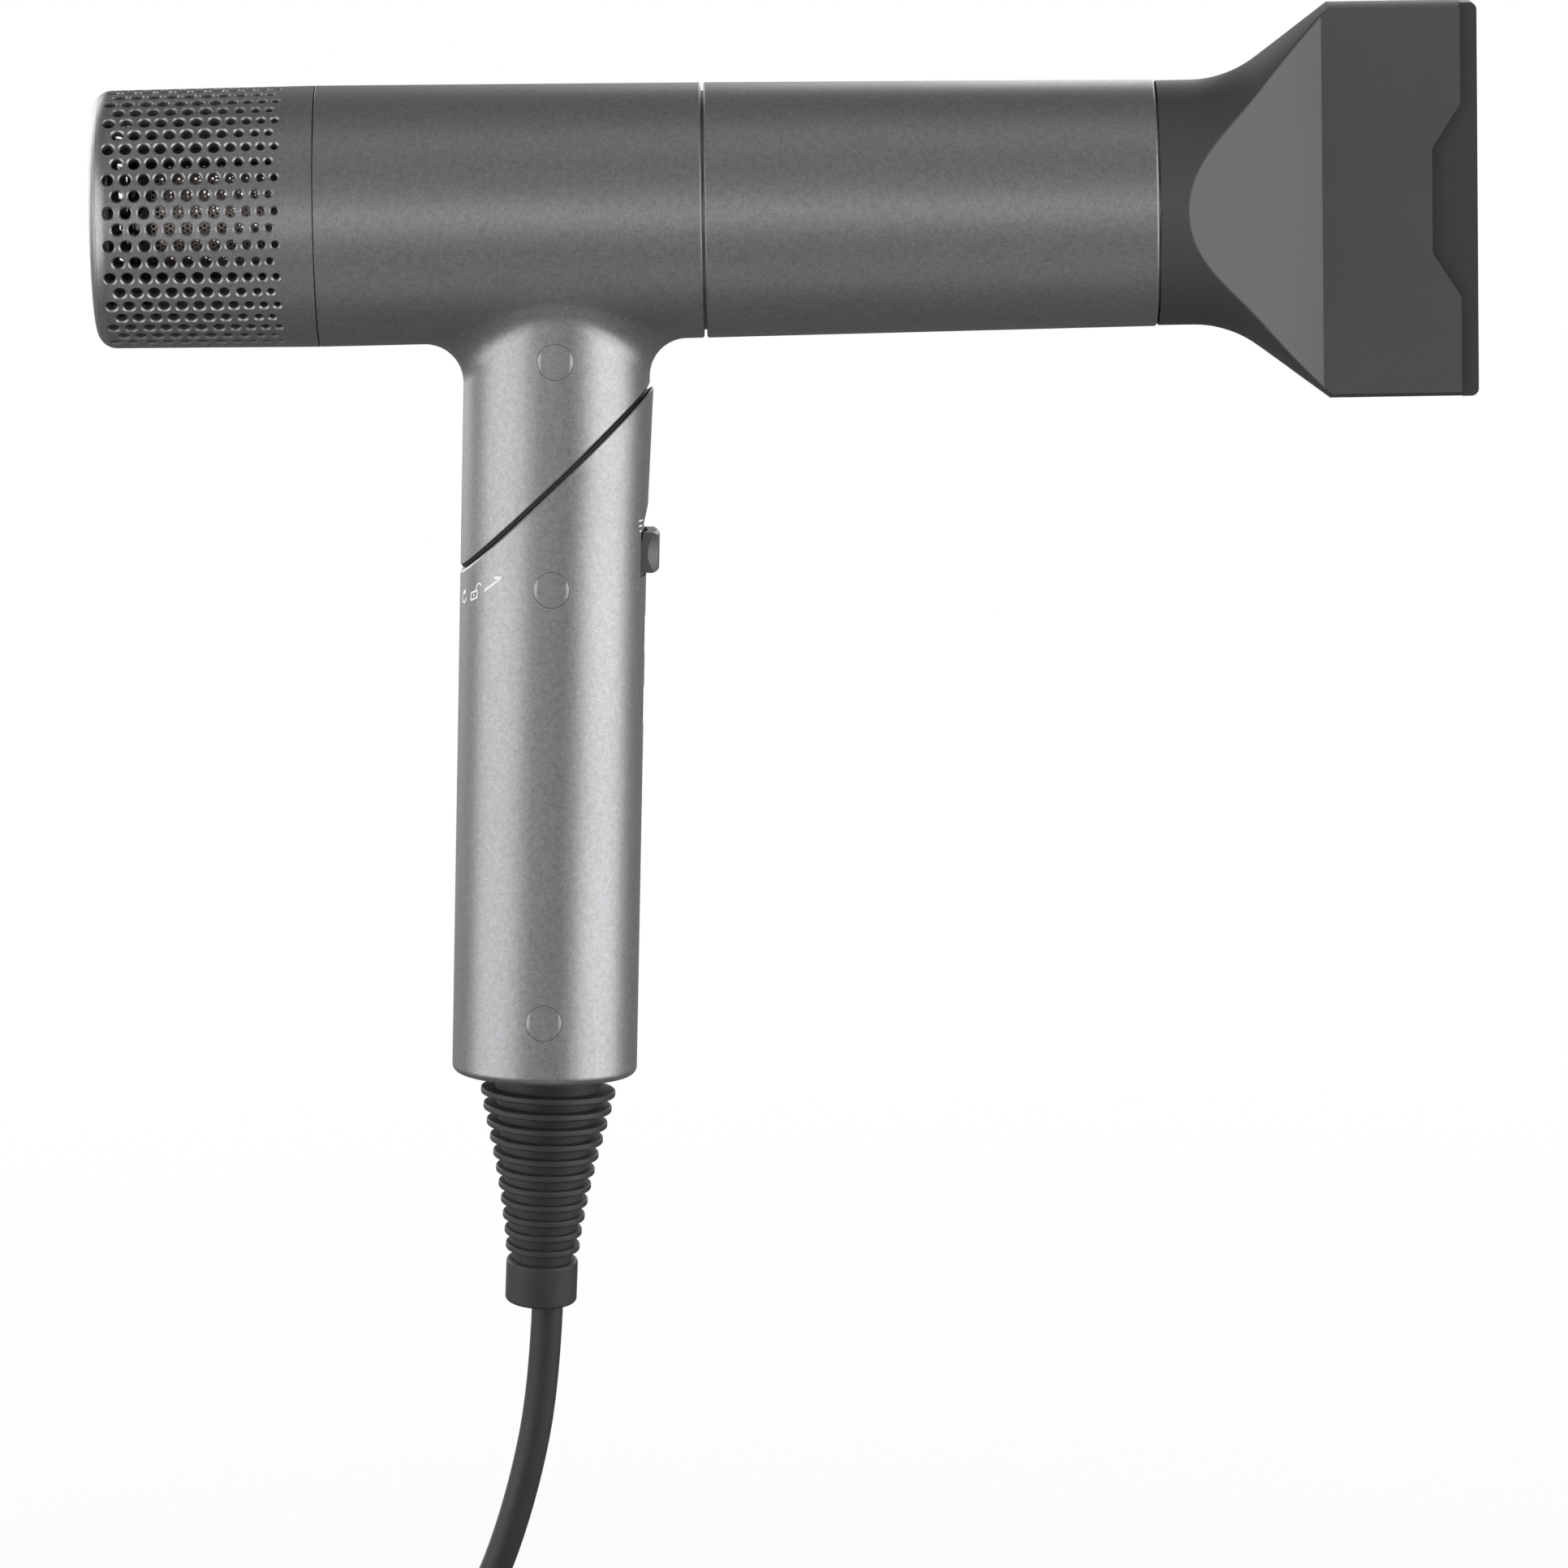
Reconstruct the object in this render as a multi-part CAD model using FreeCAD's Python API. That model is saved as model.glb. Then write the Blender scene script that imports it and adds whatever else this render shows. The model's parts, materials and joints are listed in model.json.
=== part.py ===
# A folding hair dryer: a round barrel with a flattened nozzle on a handle that folds at a 45 degree cut.
# Millimetres, +Z up, +X along the barrel towards the nozzle. The origin is the middle of the hand grip
# on the handle's axis. Handle parts are drawn upright and then leaned by RAKE, barrel parts are drawn
# about the X axis and then moved to the point where the two axes meet.
import FreeCAD, Part
import math
import os
from FreeCAD import Rotation, Vector

os.makedirs("parts", exist_ok=True)

# Driving dimensions
RAKE = 2.1                  # degrees, handle top leans towards the nozzle
GRIP_TO_BARREL = 125.0      # along the handle, from the origin to the barrel's axis
HANDLE_R = 19.4
HANDLE_BOTTOM = -56.1
HANDLE_WALL = 2.2
FOLD_S = 69.6               # where the 45 degree cut crosses the handle's axis
FOLD_GAP = 0.85
RIM_CHAMFER = 0.35
REAR_FACE = -96.3           # barrel stations, from the handle's axis
PLATE_SEAM = -94.85
CAP_SEAM = -50.2
SLEEVE_SEAM = 30.0
SLEEVE_END = 123.8
REAR_R = 26.7
CAP_SEAM_R = 27.1
SLEEVE_R = 26.5
FRONT_R = 25.6
BLEND_R = 8.0
EDGE_R = 4.0
CAP_BORE_R = 25.0
CAP_FLOOR = -93.6
HOUSING_BORE_R = 24.7
SEAM = 0.1                  # half of a hairline between covers
SEAM_CHAMFER = 0.15
SLEEVE_GAP = 0.3            # half of the open joint before the sleeve
NECK_R = 25.4
FLARE_START = 131.0
BORE_END = 130.5            # the collar's bore in the nozzle, before its hollow widens
RUNNING_GAP = 0.05
COLLAR_R = 22.8
FLARE_R = 23.0
FLARE_TILT = 37.0
SHOULDER = 159.7
MOUTH_HALF_WIDTH = 41.2
WEDGE_START = 129.8
WEDGE_END = 158.2
MOUTH_HALF_DEPTH = 6.25
NOZZLE_WALL = 1.6
SHELL_END = 186.9
NOTCH_DEPTH = 5.9
NOZZLE_EDGE_R = 0.5
LINER_END = 190.5
LIP_HALF_WIDTH = 40.9       # the liner's lip, outside the shell
HOLE_ROWS = 48
HOLES_A = (4.1, 7.7, 11.5, 14.9, 18.6, 22.2, 25.9, 29.3, 32.5, 35.5, 38.3)
HOLES_B = (6.0, 9.5, 13.1, 16.7, 20.3, 24.0, 27.5, 31.0, 34.3, 37.1)
HOLE_D = 2.4
HOLE_CHAMFER = 0.34
DRILL_FROM_R = 24.0
SMALL_HOLES_D = (2.05, 1.85, 1.65, 1.45)
CAGE_TURN = 48.0            # degrees from upright to the filter cage's first rib, towards -Y
DUCT_R = 22.8
SHAFT_R = 1.5
SLIDER_TRAVEL = 5.0
SLIDER_LOW = 50.6
SLIDER_HIGH = 59.1
SLIDER_FACE_R = 22.1
SCOOP_R = 9.0
POCKET_LOW = 49.8
POCKET_R = 18.8
RAMP_LOW = 60.5
RAMP_HIGH = 64.6
LIP = 0.8                   # how far the lower shell's front tip stands proud at the cut
SCREW_S = (48.2, -42.7)
UPPER_SCREW_S = 95.6
SCREW_CAP_R = 3.7
BUTTON_S = {"cool_shot_button": 22.0, "heat_button": 37.0}
BUTTON_R = 4.2
CORD_D = 6.6
SURFACE_Z = -220.0          # the table top that the cord's coil lies on
COIL_MID_R = 36.0
COIL_TURN_PITCH = 6.7
COIL_TURNS_A_LAYER = 2.2    # wound outwards on top, inwards in the middle, outwards at the bottom
COIL_LAYERS = 3
PIN_D = 4.8
PIN_LENGTH = 19.0
PIN_SPACING = 19.0
PLUG_HALF_HEIGHT = 6.8
RIB_RADII = (14.15, 13.5, 12.7, 11.9, 11.1, 10.4, 9.75, 9.15, 8.65, 8.15, 7.8)
RIB_FIRST = 4.0
RIB_PITCH = 3.34
RIB_WIDTH = 1.4
RELIEF_LENGTH = 49.5
RELIEF_BEND_R = 315.0
RELIEF_SHIFT = 0.9          # its top stands this far forward of the handle's axis, and it leans back

# The cord's route from the strain relief to the coil, and its last run down onto the coil's top layer
CORD_ROUTE = [
    Vector(-2.4, 3.9, -105.35),
    Vector(-3.6, 6.7, -124.4),
    Vector(-8.2, 9.2, -146.5),
    Vector(-15.5, 12.0, -168.0),
    Vector(-25.0, 16.0, -184.5),
    Vector(-38.0, 21.5, -195.8),
]
LEAVE_ANGLE = -76.0         # degrees about the coil's centre where the tail leaves it
TAIL_RUNS = (12.0, 18.0, 26.0)  # the cord from the coil to the plug
TAIL_TURN = 12.0            # degrees that the last run turns
TIE_ANGLE = 165.0

X = Vector(1, 0, 0)
Y = Vector(0, 1, 0)
Z = Vector(0, 0, 1)
UP_HANDLE = Vector(math.sin(math.radians(RAKE)), 0, math.cos(math.radians(RAKE)))
AXES_MEET = UP_HANDLE * GRIP_TO_BARREL
FOLD_NORMAL = Vector(-math.sqrt(0.5), 0, math.sqrt(0.5))
FOLD_CENTRE = Vector(0, 0, FOLD_S)
BIG = 200.0


def save(name, shape):
    """Writes one node, and says what it is."""
    shape.exportStep("parts/" + name + ".step")
    print(name, "valid" if shape.isValid() else "INVALID", len(shape.Solids), round(shape.Volume, 1))


def in_handle(shape):
    """From the upright handle's frame to the part's frame."""
    leaned = shape.copy()
    leaned.rotate(Vector(0, 0, 0), Y, RAKE)
    return leaned


def in_barrel(shape):
    """From the barrel's own frame to the part's frame."""
    moved = shape.copy()
    moved.translate(AXES_MEET)
    return moved


def rod(start, end, radius):
    """A cylinder between two points."""
    return Part.makeCylinder(radius, (end - start).Length, start, end - start)


def x_rod(x0, x1, radius):
    return Part.makeCylinder(radius, x1 - x0, Vector(x0, 0, 0), X)


def x_tube(x0, x1, outer, inner):
    return x_rod(x0, x1, outer).cut(x_rod(x0 - 1, x1 + 1, inner))


def s_rod(s0, s1, radius, x=0.0, y=0.0):
    return Part.makeCylinder(radius, s1 - s0, Vector(x, y, s0), Z)


def box(x0, x1, y0, y1, z0, z1):
    return Part.makeBox(x1 - x0, y1 - y0, z1 - z0, Vector(x0, y0, z0))


def turned_about_x(profile):
    """Revolves a closed outline of (x, radius) points about the X axis."""
    points = [Vector(x, r, 0) for x, r in profile]
    face = Part.Face(Part.makePolygon(points + points[:1]))
    return face.revolve(Vector(0, 0, 0), X, 360)


def around_x(shape, count):
    """Copies of a shape spaced evenly about the X axis."""
    copies = []
    for k in range(count):
        copy = shape.copy()
        copy.rotate(Vector(0, 0, 0), X, 360.0 * k / count)
        copies.append(copy)
    return copies


def fused(shapes):
    return shapes[0].multiFuse(shapes[1:]).removeSplitter()


def halves(shape):
    """The +Y half and the -Y half of a shell that is split along its middle."""
    left = shape.common(box(-BIG, BIG, 0, BIG, -BIG, BIG))
    right = shape.common(box(-BIG, BIG, -BIG, 0, -BIG, BIG))
    return left, right


def fold_slab(low, high):
    """The space between two planes parallel to the fold, in the handle's frame."""
    slab = box(-BIG, BIG, -BIG, BIG, low, high)
    slab.rotate(Vector(0, 0, 0), Y, -45)
    slab.translate(FOLD_CENTRE)
    return slab


def fold_rod(low, high, radius):
    """A cylinder along the fold's own axis, in the handle's frame."""
    return rod(FOLD_CENTRE + FOLD_NORMAL * low, FOLD_CENTRE + FOLD_NORMAL * high, radius)


def rim_chamfered(shape, size, on_rim):
    """Chamfers the edges that on_rim accepts."""
    solid = shape.Solids[0]
    return solid.makeChamfer(size, [e for e in solid.Edges if on_rim(e)])


def on_fold_plane(edge, offset):
    """True for an edge that lies in the plane at this distance along the fold's axis."""
    points = edge.discretize(5)
    return all(abs((p - FOLD_CENTRE).dot(FOLD_NORMAL) - offset) < 0.01 for p in points)


def barrel_radius(x):
    """Outer radius of the barrel at a station."""
    stations = ((REAR_FACE, REAR_R), (CAP_SEAM, CAP_SEAM_R), (SLEEVE_SEAM, SLEEVE_R), (SLEEVE_END, FRONT_R))
    for (x0, r0), (x1, r1) in zip(stations, stations[1:]):
        if x <= x1:
            return r0 + (r1 - r0) * (x - x0) / (x1 - x0)
    return FRONT_R


def hole_sizes(count):
    """Diameters along one row of intake holes, smaller towards the front."""
    large = count - len(SMALL_HOLES_D)
    return (HOLE_D,) * large + SMALL_HOLES_D


# ---------------------------------------------------------------- barrel covers

def hole_drill(x, size):
    """One drill of the intake pattern, whose head leaves a fine chamfer round the hole."""
    seat = barrel_radius(x) - HOLE_CHAMFER
    head = HOLE_CHAMFER + 0.5
    shank = Part.makeCylinder(size / 2, seat - DRILL_FROM_R, Vector(x, 0, DRILL_FROM_R), Z)
    return shank.fuse(Part.makeCone(size / 2, size / 2 + head, head, Vector(x, 0, seat), Z))


def rear_covers():
    """The intake cap that pulls off backwards, and the plate that closes its end."""
    x_edge = REAR_FACE + EDGE_R
    r_face = REAR_R - EDGE_R
    blank = x_rod(REAR_FACE, x_edge, barrel_radius(x_edge))
    blank = blank.fuse(Part.makeCone(barrel_radius(x_edge), CAP_SEAM_R, CAP_SEAM - SEAM - x_edge,
                                     Vector(x_edge, 0, 0), X)).removeSplitter()
    rear_edge = [e for e in blank.Edges if abs(e.BoundBox.XMax - REAR_FACE) < 0.01]
    blank = blank.makeFillet(EDGE_R - 0.05, rear_edge)
    cap = blank.common(box(PLATE_SEAM, 0, -BIG, BIG, -BIG, BIG))
    cap = cap.cut(turned_about_x([(REAR_FACE, 0), (REAR_FACE, r_face - 0.1), (CAP_FLOOR, r_face - 0.1),
                                  (CAP_FLOOR, CAP_BORE_R), (0, CAP_BORE_R), (0, 0)]))
    # Half a row's turn keeps the faces' own seams out of the holes.
    cap.rotate(Vector(0, 0, 0), X, 180.0 / HOLE_ROWS)
    drills = []
    for places, first_row in ((HOLES_B, 0), (HOLES_A, 1)):
        for place, size in zip(places, hole_sizes(len(places))):
            drill = hole_drill(REAR_FACE + place, size)
            drill.rotate(Vector(0, 0, 0), X, 360.0 * first_row / HOLE_ROWS)
            drills += around_x(drill, HOLE_ROWS // 2)
    cap = cap.cut(Part.makeCompound(drills))
    plate = blank.common(box(REAR_FACE - 1, PLATE_SEAM - 0.05, -BIG, BIG, -BIG, BIG))
    plate = fused([plate, x_tube(PLATE_SEAM - 0.1, -92.9, r_face - 0.15, r_face - 1.4)])
    save("rear_cap", in_barrel(cap))
    save("rear_end_plate", in_barrel(plate))


def housing():
    """The T-shaped middle: barrel section and upper handle, split left and right."""
    rear = CAP_SEAM + SEAM
    front = SLEEVE_SEAM - SLEEVE_GAP
    tube = in_barrel(Part.makeCone(CAP_SEAM_R, SLEEVE_R, front - rear, Vector(rear, 0, 0), X))
    stem = s_rod(40, GRIP_TO_BARREL, HANDLE_R).cut(fold_slab(-BIG, FOLD_GAP / 2))
    stem = in_handle(rim_chamfered(stem, RIM_CHAMFER, lambda e: on_fold_plane(e, FOLD_GAP / 2)))
    outer = tube.fuse(stem).removeSplitter()
    joint = [e for e in outer.Edges if 5 < e.BoundBox.XLength < 60 and e.BoundBox.ZMin > 80]
    outer = outer.makeFillet(BLEND_R, joint)
    outer = rim_chamfered(outer, 0.3, lambda e: e.BoundBox.XLength < 0.01 and e.BoundBox.XMin > 0)
    outer = rim_chamfered(outer, SEAM_CHAMFER, lambda e: e.BoundBox.XLength < 0.01 and e.BoundBox.XMax < 0)
    bore = in_barrel(x_rod(rear - 1, front + 1, HOUSING_BORE_R))
    well = in_handle(s_rod(30, GRIP_TO_BARREL, HANDLE_R - HANDLE_WALL))
    shell = outer.cut(bore).cut(well)
    shell = fused([shell, in_barrel(x_tube(rear - 6, rear + 6, CAP_BORE_R - 0.1, 23.3)),
                   in_barrel(x_tube(front - 6, front + 8, HOUSING_BORE_R + 0.1, 23.0))])
    boss = s_side_boss(UPPER_SCREW_S)
    shell = shell.fuse(boss["solid"]).cut(boss["drill"]).removeSplitter()
    left, right = halves(shell)
    save("housing_left", left)
    save("housing_right", right)
    screw_and_cap([UPPER_SCREW_S], "upper_screw", "upper_screw_cap")


def s_side_boss(s):
    """A screw boss across the handle, with its counterbore in the -Y side."""
    reach = HANDLE_R - HANDLE_WALL + 0.6
    solid = rod(Vector(0, -reach, s), Vector(0, reach, s), 3.9)
    # Up to the counterbore's edge, the cap's recess and the screw's clearance are cut as one drill.
    drill = rod(Vector(0, -HANDLE_R - 1, s), Vector(0, -16.9, s), SCREW_CAP_R + 0.08)
    drill = drill.fuse(rod(Vector(0, -17, s), Vector(0, -13.5, s), 2.8))
    drill = drill.fuse(rod(Vector(0, -13.6, s), Vector(0, 8.0, s), 1.25))
    return {"solid": in_handle(solid), "drill": in_handle(drill)}


def screw_and_cap(stations, screw_name, cap_name):
    """Self-tapping screws from the -Y side, and the round plugs over their heads."""
    screws = []
    caps = []
    rim = s_rod(-BIG, BIG, HANDLE_R - 0.05)
    for s in stations:
        head = rod(Vector(0, -15.4, s), Vector(0, -13.5, s), 2.6)
        socket = rod(Vector(0, -15.5, s), Vector(0, -14.4, s), 0.9)
        shank = rod(Vector(0, -13.6, s), Vector(0, 7.5, s), 1.25)
        screws.append(in_handle(head.cut(socket).fuse(shank).removeSplitter()))
        disc = rod(Vector(0, -HANDLE_R - 1, s), Vector(0, -17.0, s), SCREW_CAP_R)
        caps.append(in_handle(disc.common(rim)))
    save(screw_name, Part.makeCompound(screws) if len(screws) > 1 else screws[0])
    save(cap_name, Part.makeCompound(caps) if len(caps) > 1 else caps[0])


def sleeve():
    """The plain front tube of the barrel."""
    rear = SLEEVE_SEAM + SLEEVE_GAP
    outline = [(rear + 0.3, SLEEVE_R), (SLEEVE_END - 0.5, FRONT_R), (SLEEVE_END, FRONT_R - 0.5),
               (SLEEVE_END, 24.0), (112.0, 24.0), (rear + 9, 24.9), (rear, 24.9), (rear, SLEEVE_R - 0.3)]
    save("barrel_sleeve", in_barrel(turned_about_x(outline)))


# ---------------------------------------------------------------- nozzle

def flare_outline(inset, rear):
    """Half-height of the nozzle against the station: neck, hollow arc, straight flank, flat lips."""
    tilt = math.radians(FLARE_TILT)
    arc_end = FLARE_START + FLARE_R * math.sin(tilt)
    stations = [rear, (rear + FLARE_START) / 2, FLARE_START]
    steps = 5
    for k in range(1, steps + 1):
        stations.append(FLARE_START + (arc_end - FLARE_START) * k / steps)
    flank = (SHOULDER - arc_end) / 4
    stations += [arc_end + flank * k for k in range(1, 5)]
    heights = []
    for x in stations:
        if x <= FLARE_START:
            heights.append(NECK_R - inset)
        elif x <= arc_end + 0.01:
            run = x - FLARE_START
            heights.append(NECK_R + FLARE_R - math.sqrt(FLARE_R ** 2 - run ** 2) - inset)
        else:
            heights.append(MOUTH_HALF_WIDTH - (SHOULDER - x) * math.tan(tilt) - inset)
    return list(zip(stations, heights))


def ellipse_wire(x, half_depth, half_height):
    """An ellipse across the nozzle, taller than it is deep or round."""
    if half_height - half_depth < 0.01:
        curve = Part.Circle(Vector(x, 0, 0), X, half_depth)
        edge = curve.toShape()
        edge.rotate(Vector(x, 0, 0), X, 90)
        return Part.Wire(edge)
    curve = Part.Ellipse(Vector(x, 0, half_height), Vector(x, half_depth, 0), Vector(x, 0, 0))
    return Part.Wire(curve.toShape())


def nozzle_body(inset, rear, front):
    """The nozzle's outer form, drawn smaller by inset: an elliptical flare between two sloping flats."""
    narrow = NECK_R - inset
    sections = [ellipse_wire(x, narrow, max(h, narrow + 0.02)) for x, h in flare_outline(inset, rear)]
    flare = Part.makeLoft(sections, True, False)
    lips = Part.Face(ellipse_wire(SHOULDER, narrow, MOUTH_HALF_WIDTH - inset)).extrude(X * (front - SHOULDER))
    body = flare.fuse(lips)
    reach = 60.0
    slope = (NECK_R - MOUTH_HALF_DEPTH) / (WEDGE_END - WEDGE_START)
    depth = MOUTH_HALF_DEPTH - inset
    start = WEDGE_START - (reach - NECK_R) / slope
    shift = inset * (math.sqrt(1 + slope ** 2) - 1) / slope
    outline = [Vector(start + shift, reach - inset, -reach), Vector(WEDGE_END + shift, depth, -reach),
               Vector(front, depth, -reach), Vector(front, -depth, -reach),
               Vector(WEDGE_END + shift, -depth, -reach), Vector(start + shift, -reach + inset, -reach)]
    wedge = Part.Face(Part.makePolygon(outline + outline[:1])).extrude(Vector(0, 0, 2 * reach))
    return body.common(wedge)


def slot_block(x0, x1, half_depth, half_width, corner):
    """A flat bar with rounded long edges, for the mouth and its liner."""
    bar = box(x0, x1, -half_depth, half_depth, -half_width, half_width)
    edges = [e for e in bar.Edges if e.BoundBox.XLength > 1]
    return bar.makeFillet(corner, edges)


def on_flat_crease(edge):
    """True for the creases at the lower end of the nozzle's sloping flats."""
    span = edge.BoundBox
    return span.XLength < 0.01 and abs(span.XMin - WEDGE_END) < 0.05


def on_flare_crest(edge):
    """True for the long outer edges between the flare and its sloping flats."""
    span = edge.BoundBox
    reach = max(abs(span.YMin), abs(span.YMax))
    return span.XMin < FLARE_START and 150 < span.XMax < WEDGE_END + 0.3 and reach > NECK_R - NOZZLE_WALL / 2


def nozzle():
    """The concentrator: a turning shell with a dark liner in its mouth, on a collar that pulls off."""
    neck_start = SLEEVE_END + 0.25
    body = nozzle_body(0.0, neck_start, SHELL_END)
    inner = nozzle_body(NOZZLE_WALL, BORE_END - 1, SHELL_END + 5)
    bore = x_rod(neck_start - 1, BORE_END, COLLAR_R + RUNNING_GAP)
    shell = body.cut(inner).cut(bore)
    notch_low = 10.9
    notch_high = 20.1
    x_in = SHELL_END - NOTCH_DEPTH
    outline = [Vector(x_in, -BIG, -notch_low), Vector(x_in, -BIG, notch_low),
               Vector(SHELL_END + 1, -BIG, notch_high + 1.5), Vector(SHELL_END + 1, -BIG, -notch_high - 1.5)]
    notch = Part.Face(Part.makePolygon(outline + outline[:1])).extrude(Vector(0, 2 * BIG, 0))
    notch = notch.makeFillet(2.0, [e for e in notch.Edges if e.BoundBox.YLength > BIG
                                   and abs(e.BoundBox.XMax - x_in) < 0.01])
    shell = shell.cut(notch)
    # The creases are rounded first: rounding both at once fails where they meet.
    for on_edge in (on_flat_crease, on_flare_crest):
        shell = shell.Solids[0].makeFillet(NOZZLE_EDGE_R, [e for e in shell.Edges if on_edge(e)])
    liner_depth = MOUTH_HALF_DEPTH - NOZZLE_WALL - 0.02
    liner = slot_block(WEDGE_END + 4, LINER_END - 1, liner_depth, 37.4, 1.4)
    lip = box(SHELL_END + 0.05, LINER_END, -liner_depth, liner_depth, -LIP_HALF_WIDTH, LIP_HALF_WIDTH)
    lip = lip.makeFillet(1.6, [e for e in lip.Edges if e.BoundBox.YLength > 1 and e.BoundBox.XMax > SHELL_END + 2])
    liner = fused([liner, lip]).cut(slot_block(WEDGE_END, LINER_END + 5, liner_depth - 1.2, 36.0, 1.0))
    collar = turned_about_x([(116.3, 23.8), (SLEEVE_END + 0.1, 23.8), (SLEEVE_END + 0.1, COLLAR_R),
                             (130.0, COLLAR_R), (130.0, 21.4), (116.3, 21.4)])
    save("nozzle_shell", in_barrel(shell))
    save("nozzle_liner", in_barrel(liner))
    save("nozzle_collar", in_barrel(collar))


# ---------------------------------------------------------------- heater and motor

def heater():
    """Duct, mica former, heating wire, its two cut-outs, and what closes the outlet."""
    duct = fused([x_tube(-1, 113, DUCT_R, DUCT_R - 0.8), x_tube(-1, 2, HOUSING_BORE_R - 1.75, DUCT_R - 0.8),
                  x_tube(110, 113, 23.9, DUCT_R - 0.8)])
    mica_r = DUCT_R - 0.9
    tube = x_tube(4, 100, mica_r, mica_r - 0.4)
    board = 0.6
    wide = mica_r - 0.6
    cross = fused([box(6, 98, -board / 2, board / 2, -wide, wide), box(6, 98, -wide, wide, -board / 2, board / 2)])
    rings = []
    for k in range(8):
        station = 14 + 9.5 * k
        cross = cross.cut(Part.makeTorus(18.3, 1.5, Vector(station, 0, 0), X))
        rings.append(in_barrel(Part.makeTorus(18.3, 1.35, Vector(station, 0, 0), X)))
    thermostat = box(86, 96, 2.5, 8.5, 0.35, 4.0).fuse(Part.makeCylinder(2.6, 1.0, Vector(91, 5.5, 4.0), Z))
    save("heater_duct", in_barrel(duct))
    save("mica_tube", in_barrel(tube))
    save("mica_cross", in_barrel(cross))
    save("heater_windings", Part.makeCompound(rings))
    save("thermostat", in_barrel(thermostat))
    save("thermal_fuse", in_barrel(rod(Vector(84, -6, 2.0), Vector(93, -6, 2.0), 1.5)))
    frame = [x_tube(109, 112, DUCT_R - 0.85, 20.6), x_tube(109, 111, 15.4, 14.4), x_tube(109, 111, 9.4, 8.4),
             x_tube(109, 112, 3.6, 1.0)]
    frame += around_x(box(109, 111, -0.5, 0.5, 1.2, 21.2), 12)
    save("outlet_grille", in_barrel(fused(frame)))
    save("ion_needle", in_barrel(rod(Vector(104, 0, 0), Vector(113.5, 0, 0), 0.6).fuse(
        rod(Vector(100, 0, 0), Vector(104, 0, 0), 2.4)).removeSplitter()))
    ring = x_tube(113.1, 116.2, 23.9, 20.4)
    pocket = Part.makeCylinder(1.5, 2.4, Vector(113.9, 0, 22.1), X)
    save("magnet_ring", in_barrel(ring.cut(Part.makeCompound(around_x(pocket, 8)))))
    save("nozzle_magnets", in_barrel(Part.makeCompound(around_x(pocket, 8))))


def motor():
    """An axial fan on a small brushless motor in a shroud with guide vanes."""
    shroud_r = 22.4
    bore = 21.4
    can = turned_about_x([(-33.5, 2.2), (-33.5, 14), (-7.5, 14), (-7.5, 12.8), (-31.5, 12.8), (-31.5, 5.2),
                          (-30.2, 5.2), (-30.2, 4.0), (-32.9, 4.0), (-32.9, 2.2)])
    vane = box(-31, -9, -0.5, 0.5, 13.5, bore + 0.3)
    vane.rotate(Vector(-20, 0, 0), Z, 14)
    shroud = fused([can, x_tube(-49.5, -3, shroud_r, bore)] + around_x(vane, 9))
    cover = turned_about_x([(-7.45, 2.2), (-7.45, 14), (-6.2, 14), (-6.2, 2.2)])
    seat = turned_about_x([(-11.2, 4.0), (-11.2, 5.2), (-7.45, 5.2), (-7.45, 4.0)])
    save("motor_shroud", in_barrel(shroud))
    save("motor_end_cover", in_barrel(fused([cover, seat])))
    core = x_tube(-27, -15, 12.7, 9.8)
    teeth = around_x(box(-27, -15, -1.6, 1.6, 6.4, 10.2), 6)
    coils = around_x(box(-28.5, -13.5, -2.7, 2.7, 7.0, 9.7).cut(box(-27.1, -14.9, -1.65, 1.65, 6.4, 10.2)), 6)
    core = fused([core] + teeth)
    winding = [c.cut(core) for c in coils]
    save("stator_core", in_barrel(core))
    save("stator_windings", in_barrel(Part.makeCompound(winding)))
    bearings = [x_tube(-32.8, -30.2, 3.95, SHAFT_R + 0.02), x_tube(-11.1, -8.5, 3.95, SHAFT_R + 0.02)]
    save("motor_bearings", in_barrel(Part.makeCompound(bearings)))
    shaft = x_rod(-45.0, -8.0, SHAFT_R)
    save("rotor", in_barrel(fused([shaft, x_rod(-27, -15, 5.8)])))
    hub = x_rod(-46.5, -35.5, 9.0).cut(x_rod(-45.0, -35, SHAFT_R))
    nose = hub.makeFillet(4.0, [e for e in hub.Edges if abs(e.BoundBox.XMax + 46.5) < 0.01])
    blade = box(-6.2, 6.2, -0.4, 0.4, 7.0, 21.5)
    blade.rotate(Vector(0, 0, 0), Z, 38)
    blade.translate(Vector(-40.5, 0, 0))
    blade = blade.common(x_tube(-46, -35.6, 21.0, 8.0)).Solids[0]
    save("impeller", in_barrel(fused([nose] + around_x(blade, 11))))
    save("motor_damper", in_barrel(x_tube(-49, -45, 23.3, shroud_r)))
    save("driver_board", in_barrel(x_tube(-5.6, -4.2, 12.5, 3.0)))


def intake_filter():
    """The clip-in cage, its perforated sleeve and its glossy end cap, under the intake holes."""
    cage = [x_tube(-58.3, -56.25, 24.4, 16.6), x_tube(-56.35, -50, 23.2, 22.3), x_tube(-85.5, -84.0, 20.3, 15.0)]
    cage += around_x(box(-84.5, -58, -0.8, 0.8, 18.7, 21.2), 5)
    cage += around_x(box(-92.6, -69.5, -1.7, 1.7, 21.0, 24.6).cut(x_rod(-94, -85.5, 21.2)), 5)
    cage = fused(cage)
    cage.rotate(Vector(0, 0, 0), X, CAGE_TURN)
    save("filter_cage", in_barrel(cage))
    save("filter_mesh", in_barrel(x_tube(-83.9, -58.4, 18.6, 18.2)))
    end = x_rod(-88.6, -85.55, 20.6)
    end = end.makeFillet(1.8, [e for e in end.Edges if abs(e.BoundBox.XMax + 88.6) < 0.01])
    save("filter_end_cap", in_barrel(end))


# ---------------------------------------------------------------- handle and fold

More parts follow.
